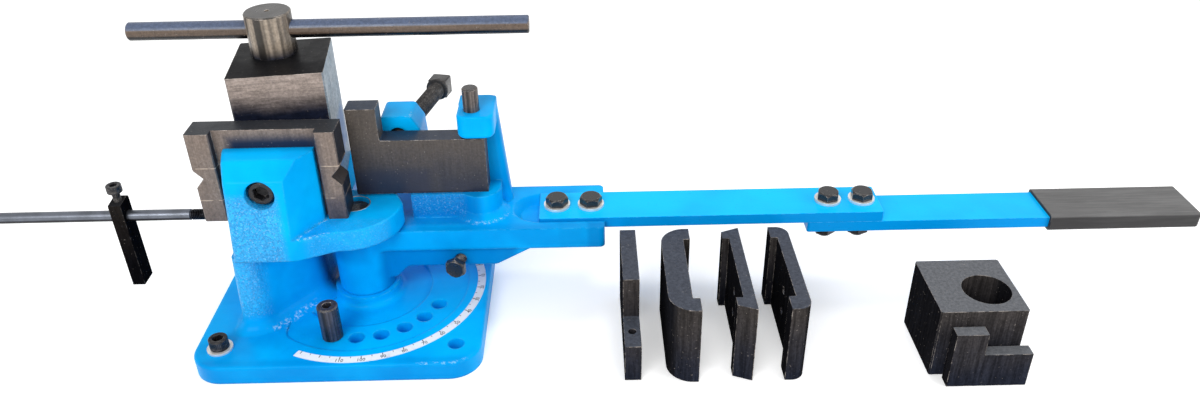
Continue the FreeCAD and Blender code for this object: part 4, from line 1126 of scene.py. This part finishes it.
@dataclass
class BaseUnit(Unit):
    """Base casting with its scale, pivot, die and screws.

    rim is the pivot rim's section in mm: out from the bore, and up from the table. A tick is
    its length and its half width.
    """

    coats = {"base_casting": BASE_PAINT, "angle_scale": STRIP, "pivot_pin": STUD_BLACK,
             "pivot_grub_screw": SCREW_BLACK, "lower_thrust_washer": BRONZE,
             "upper_thrust_washer": BRONZE, "bending_die": DIE_BLACK,
             "base_screw_washer": ZINC, "stop_pin": STUD_BLACK}
    plate_top: float = 17.0 * MM
    table_top: float = 107.5 * MM
    pivot_r: float = 12.05 * MM
    rim: Tuple[Pair, ...] = ((0.02, -0.9), (0.1, 0.02), (0.3, 0.22), (1.1, 0.16), (1.2, -0.3))
    scale_high: float = 0.6 * MM
    scale_in: float = 101.0 * MM
    scale_out: float = 108.3 * MM
    scale_zero_deg: float = 16.55
    scale_last: int = 130
    number_last: int = 110
    number_step: int = 10
    number_size: float = 5.0 * MM
    number_in: float = 0.8 * MM
    number_rise: float = 0.04 * MM
    tick_step: int = 5
    tick_in: float = 0.2 * MM
    long_tick: Pair = (3.0 * MM, 0.36 * MM)
    short_tick: Pair = (1.9 * MM, 0.28 * MM)
    ink_high: float = 0.06 * MM
    die_seat: Point = (-61.5 * MM, -36.5 * MM, 149.35 * MM)
    base_seat: Point = (-112.0 * MM, -86.0 * MM, 19.0 * MM)

    def detail(self) -> None:
        """Add the rim, the scale's print and the two screws."""
        self.pivot_rim()
        self.ticks()
        for reading in range(0, self.number_last + 1, self.number_step):
            self.number(reading)
        self.screws()

    def pivot_rim(self) -> None:
        """Bright chamfer where the pivot bore opens on the table."""
        shape = Shape()
        shape.tube([circle(self.pivot_r + out * MM, self.table_top + up * MM, RIM_COUNT)
                    for out, up in self.rim], start=False, end=False)
        shape.piece("pivot_rim", STEEL, Body.MACHINE, Matrix.Identity(4))

    def at(self, degrees: float, radius: float, rise: float) -> Vector:
        """Point on the scale at a reading."""
        return polar(radius, math.radians(self.scale_zero_deg - degrees),
                     self.plate_top + self.scale_high + rise)

    def ticks(self) -> None:
        """Degree marks on the inner edge of the scale."""
        shape = Shape()
        lift = Vector((0, 0, self.ink_high))
        for reading in range(0, self.scale_last + 1, self.tick_step):
            is_long = reading % self.number_step == 0
            reach, half = self.long_tick if is_long else self.short_tick
            middle = self.at(reading, self.scale_in, 0.0)
            way = Vector((middle.x, middle.y, 0)).normalized()
            side = Vector((-way.y, way.x, 0)) * half
            near, far = middle + way * self.tick_in, middle + way * reach
            low = [near - side, near + side, far + side, far - side]
            shape.tube([[p - lift for p in low], [p + lift for p in low]])
        shape.piece("scale_ticks", INK, Body.MACHINE, Matrix.Identity(4))

    def number(self, reading: int) -> None:
        """Number of the scale, read from the operator's side.

        Args:
            reading: the number, in degrees.
        """
        curve = bpy.data.curves.new(f"reading_{reading}", "FONT")
        curve.body = str(reading)
        curve.size = self.number_size
        curve.extrude = self.ink_high
        curve.align_x = "CENTER"
        curve.resolution_u = 3
        text = bpy.data.objects.new(f"reading_{reading}", curve)
        show(text)
        where = self.at(reading, self.scale_out - self.number_in, self.number_rise)
        turn = math.radians(self.scale_zero_deg - reading + 90.0)
        text.matrix_world = Matrix.Translation(where) @ Matrix.Rotation(turn, 4, "Z")
        bpy.context.view_layer.update()
        mesh = bpy.data.meshes.new_from_object(text)
        mesh.transform(text.matrix_world)
        bpy.data.objects.remove(text)
        number = bpy.data.objects.new(f"scale_number_{reading}", mesh)
        show(number)
        mesh.materials.clear()
        mesh.materials.append(INK.build())
        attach(number, Body.MACHINE.value)
        LOG.info("%s: %d faces", number.name, len(mesh.polygons))

    def screws(self) -> None:
        """Die screw and the base's own screw."""
        die = CapScrew(shank_r=7.0 * MM, head_r=10.5 * MM, head_high=14.0 * MM,
                       socket=12.0 * MM, shank=33.0 * MM, pitch=2.0 * MM)
        die.build("die_cap_screw", Body.MACHINE, along(self.die_seat, Vector((0, -1, 0))),
                  "die_screw")
        base = CapScrew(shank_r=5.0 * MM, head_r=8.0 * MM, head_high=10.0 * MM,
                        socket=8.0 * MM, shank=17.5 * MM, pitch=1.5 * MM, teeth=36)
        base.build("base_cap_screw", Body.MACHINE, Matrix.Translation(self.base_seat),
                   "base_screw")


@dataclass
class ClampUnit(Unit):
    """Forming block, its clamp pin and the T-bar."""

    coats = {"forming_block": BLOCK_BLACK, "clamp_pin": PIN_BLACK, "t_bar": BAR_BLACK}


@dataclass
class ArmUnit(Unit):
    """Swing arm with its press plate, screws, stop bolt and lever.

    square_head gives each ring of the screw's square end: how much narrower than its side,
    how far under its top, and its corners' radius, in mm. bolt_crown and bolt_dish give the
    rings over the bolt's flats: radius as a share of the flats, and drop, or for the dish
    height, as a share of the head.
    """

    coats = {"arm_casting": ARM_PAINT, "hub_bushes": BRONZE, "press_plate": PLATE_BLACK,
             "plate_pin": STUD_BLACK, "stop_bolt_nut": SCREW_BLACK,
             "lever_inner_bar": BAR_PAINT, "lever_outer_bar": BAR_PAINT,
             "lever_bolts": SCREW_BLACK, "lever_washers": ZINC, "lever_nuts": SCREW_BLACK,
             "lever_grip": SLEEVE}
    screw_at: Point = (38.0 * MM, 31.0 * MM, 157.0 * MM)
    screw_turn_deg: float = 13.0
    screw_r: float = 8.0 * MM
    screw_pitch: float = 2.0 * MM
    tip_r: float = 5.5 * MM
    tip_bevel: float = 2.5 * MM
    screw_gap: float = 0.3 * MM
    screw_long: float = 99.0 * MM
    collar_r: float = 11.0 * MM
    collar_high: float = 3.0 * MM
    collar_edge: float = 0.6 * MM
    head_side: float = 18.0 * MM
    head_high: float = 16.0 * MM
    square_head: Tuple[Point, ...] = ((0.0, 16.6, 1.4), (0.0, 2.6, 1.4), (1.2, 0.9, 2.6),
                                      (4.0, 0.1, 4.2), (8.0, 0.0, 4.2))
    bolt_at: Point = (85.5 * MM, -27.2 * MM, 52.5 * MM)
    bolt_turn_deg: float = 12.0
    bolt_flats: float = 17.0 * MM
    bolt_head: float = 6.4 * MM
    bolt_corner: float = 0.72
    bolt_crown: Tuple[Pair, ...] = ((0.55, 0.16), (0.478, 0.0))
    bolt_dish: Pair = (0.44, 0.97)
    bolt_r: float = 5.0 * MM
    bolt_pitch: float = 1.5 * MM
    bolt_long: float = 45.0 * MM

    def detail(self) -> None:
        """Add the press screw and the stop bolt."""
        self.press_screw()
        self.stop_bolt()

    def way(self, degrees: float) -> Vector:
        """Level direction turned from +Y towards +X."""
        angle = math.radians(degrees)
        return Vector((math.sin(angle), math.cos(angle), 0.0))

    def press_screw(self) -> None:
        """Threaded screw with a collar and a square head."""
        way = self.way(self.screw_turn_deg)
        reach = (self.tip_r * way.x + self.screw_gap) / way.y
        shape = Shape()
        shape.tube([circle(self.tip_r, 0.0, THREAD_COUNT)] + thread_rings(
            self.screw_r, self.screw_pitch, self.tip_bevel, self.screw_long))
        low, edge = self.screw_long, self.collar_edge
        high = low + self.collar_high
        shape.tube([circle(self.collar_r - less, height, THREAD_COUNT)
                    for less, height in ((edge, low), (0.0, low + edge), (0.0, high - edge),
                                         (edge, high))])
        shape.tube([self.square(self.head_side - less * MM, high + self.head_high - down * MM,
                                corner * MM) for less, down, corner in self.square_head])
        shape.piece("square_head_screw", SQUARE_BLACK, Body.PRESS_SCREW,
                    along(Vector(self.screw_at) + way * reach, way), ["press_screw"])

    def square(self, side: float, height: float, corner: float) -> List[Vector]:
        """Square ring with rounded corners.

        Args:
            side: its side.
            height: its height.
            corner: its corners' radius.

        Returns:
            The ring's points.
        """
        points = []
        inner = side / 2 - corner
        for quarter, (x, y) in enumerate(((1, 1), (-1, 1), (-1, -1), (1, -1))):
            for step in range(6):
                angle = math.pi / 2 * (quarter + step / 5)
                points.append(Vector((inner * x + corner * math.cos(angle),
                                      inner * y + corner * math.sin(angle), height)))
        return points

    def stop_bolt(self) -> None:
        """Hexagon bolt that meets the stop pin."""
        way = self.way(self.bolt_turn_deg)
        shape = Shape()
        flats, top = self.bolt_flats, self.bolt_head
        rings = [hexagon(flats, height, BOLT_COUNT) for height in (0.0, top * self.bolt_corner)]
        for share, drop in self.bolt_crown:
            rings.append([self.nearer(p, flats * share, top * (1 - drop)) for p in rings[1]])
        rings.append(circle(flats * self.bolt_dish[0], top * self.bolt_dish[1], BOLT_COUNT))
        shape.tube(rings)
        shape.tube(thread_rings(self.bolt_r, self.bolt_pitch, -self.bolt_long, 0.0))
        shape.piece("stop_hex_bolt", SCREW_BLACK, Body.STOP_BOLT,
                    along(Vector(self.bolt_at) + way * top, -way), ["stop_bolt"])

    def nearer(self, point: Vector, limit: float, height: float) -> Vector:
        """Point drawn in to a radius, at a height."""
        scale = min(1.0, limit / math.hypot(point.x, point.y))
        return Vector((point.x * scale, point.y * scale, height))


@dataclass
class LengthStop(Unit):
    """Stop rod with its hanging bar."""

    coats = {"rod_stop_bar": HANGER_BLACK}
    rod_y: float = 4.0 * MM
    rod_z: float = 97.5 * MM
    rod_r: float = 5.0 * MM
    rod_pitch: float = 1.5 * MM
    rod_edge: float = 1.0 * MM
    run_out: float = 0.5 * MM
    rod_inner: float = -79.5 * MM
    rod_outer: float = -381.5 * MM
    thread_to: float = -148.4 * MM
    screw_x: float = -210.0 * MM
    screw_seat: float = 122.5 * MM

    def detail(self) -> None:
        """Add the threaded rod and the hanging bar's screw."""
        shape = Shape()
        plain = self.rod_inner - self.thread_to
        long = self.rod_inner - self.rod_outer
        rings = thread_rings(self.rod_r, self.rod_pitch, 0.0, plain)
        rings += [circle(self.rod_r, plain + self.run_out, THREAD_COUNT),
                  circle(self.rod_r, long - self.rod_edge, THREAD_COUNT),
                  circle(self.rod_r - self.rod_edge, long, THREAD_COUNT)]
        shape.tube(rings)
        shape.piece("threaded_stop_rod", ROD_STEEL, Body.STOP_ROD,
                    along((self.rod_inner, self.rod_y, self.rod_z), Vector((-1, 0, 0))),
                    ["stop_rod"])
        screw = CapScrew(shank_r=3.5 * MM, head_r=6.5 * MM, head_high=7.0 * MM,
                         socket=6.0 * MM, shank=19.8 * MM, pitch=1.25 * MM, teeth=32)
        seat = (self.screw_x, self.rod_y, self.screw_seat)
        screw.build("bar_cap_screw", Body.ROD_STOP_SCREW, Matrix.Translation(seat),
                    "rod_stop_screw")


@dataclass
class LooseDies(Unit):
    """Spare dies and blocks that stand beside the machine."""

    coats = {"spare_press_plate": SPARE_DIE_BLACK, "spare_thick_die": SPARE_DIE_BLACK,
             "spare_sharp_die": SPARE_DIE_BLACK, "spare_round_die": SPARE_DIE_BLACK,
             "spare_block": LOOSE_BLACK, "spare_small_plate": LOOSE_BLACK}


# ------------------------------------------------------------------ studio
@dataclass(frozen=True)
class Lamp:
    """Soft square lamp: where it hangs, where it aims, its side, and its power in watts."""

    name: str
    place: Point
    aim: Point
    size: float
    power: float

    def build(self) -> None:
        """Hang the lamp."""
        data = bpy.data.lights.new(self.name, "AREA")
        data.shape = "SQUARE"
        data.size = self.size
        data.energy = self.power
        lamp = bpy.data.objects.new(self.name, data)
        show(lamp)
        lamp.matrix_world = along(self.place, Vector(self.place) - Vector(self.aim))


@dataclass
class Studio:
    """Camera, pale floor and soft light: a key lamp on the left, a glint and a weak fill."""

    eye: Point = (0.20843, -0.72520, 0.54934)
    yaw_deg: float = 0.65
    pitch_deg: float = 31.53
    roll_deg: float = -0.86
    focal_px: float = 955.28
    frame_px: float = 1200.0
    sensor_mm: float = 36.0
    near_clip: float = 0.02
    floor_side: float = 12.0
    floor_z: float = -0.0003
    floor_glow: float = 0.30
    sky: float = 0.66
    lamps: Tuple[Lamp, ...] = (Lamp("key", (-0.7, -1.9, 1.6), (0.1, 0.0, 0.1), 1.2, 33.0),
                               Lamp("glint", (0.5, 0.6, 1.8), (0.1, 0.0, 0.1), 0.5, 8.0),
                               Lamp("fill", (1.3, -0.5, 0.5), (0.0, 0.0, 0.1), 0.6, 4.5))

    def build(self) -> None:
        """Set up the camera, floor and light."""
        self.camera()
        self.floor()
        self.world()
        for lamp in self.lamps:
            lamp.build()
        bpy.context.scene.view_settings.view_transform = "Standard"

    def camera(self) -> None:
        """Camera from its place and its three angles."""
        yaw, pitch, roll = map(math.radians, (self.yaw_deg, self.pitch_deg, self.roll_deg))
        ahead = Vector((math.sin(yaw) * math.cos(pitch), math.cos(yaw) * math.cos(pitch),
                        -math.sin(pitch)))
        right = Vector((math.cos(yaw), -math.sin(yaw), 0.0))
        up = right.cross(ahead)
        side = math.cos(roll) * right + math.sin(roll) * up
        top = -math.sin(roll) * right + math.cos(roll) * up
        data = bpy.data.cameras.new("camera")
        data.sensor_fit = "HORIZONTAL"
        data.sensor_width = self.sensor_mm
        data.lens = self.focal_px * self.sensor_mm / self.frame_px
        data.clip_start = self.near_clip
        camera = bpy.data.objects.new("camera", data)
        show(camera)
        turn = Matrix((side, top, -ahead)).transposed().to_4x4()
        camera.matrix_world = Matrix.Translation(Vector(self.eye)) @ turn
        bpy.context.scene.camera = camera

    def floor(self) -> None:
        """Wide pale floor that takes the shadows."""
        half = self.floor_side / 2
        mesh = bpy.data.meshes.new("floor")
        corners = [(x * half, y * half, 0) for x, y in ((-1, -1), (1, -1), (1, 1), (-1, 1))]
        mesh.from_pydata(corners, [], [(0, 1, 2, 3)])
        floor = bpy.data.objects.new("floor", mesh)
        floor.location.z = self.floor_z
        show(floor)
        material = bpy.data.materials.new("pale_floor")
        material.use_nodes = True
        s = Sheet(material.node_tree)
        s.feed(material.node_tree.nodes["Principled BSDF"], Base_Color=(0.97, 0.97, 0.97),
               Roughness=0.9, Specular_IOR_Level=0.0, Emission_Color=(1.0, 1.0, 1.0),
               Emission_Strength=s.times(s.seen(), self.floor_glow))
        mesh.materials.append(material)

    def world(self) -> None:
        """White sky: soft light, and white to the camera and in reflections."""
        world = bpy.data.worlds.new("sky")
        bpy.context.scene.world = world
        world.use_nodes = True
        world.node_tree.nodes.clear()
        s = Sheet(world.node_tree)
        seen = s.most(s.seen(), s.add("LightPath").outputs["Is Transmission Ray"])
        strength = s.plus(self.sky, s.times(seen, 1.0 - self.sky))
        back = s.add("Background", None, Color=(1.0, 1.0, 1.0), Strength=strength)
        s.add("OutputWorld", None, Surface=back.outputs[0])


def main() -> None:
    """Build the whole scene."""
    logging.basicConfig(level=logging.INFO, format="%(name)s %(message)s")
    units = (Studio(), BaseUnit(), ClampUnit(), ArmUnit(), LengthStop(), LooseDies())
    for unit in units:
        unit.build()
        LOG.info("%s done", type(unit).__name__)


if __name__ == "__main__":
    main()
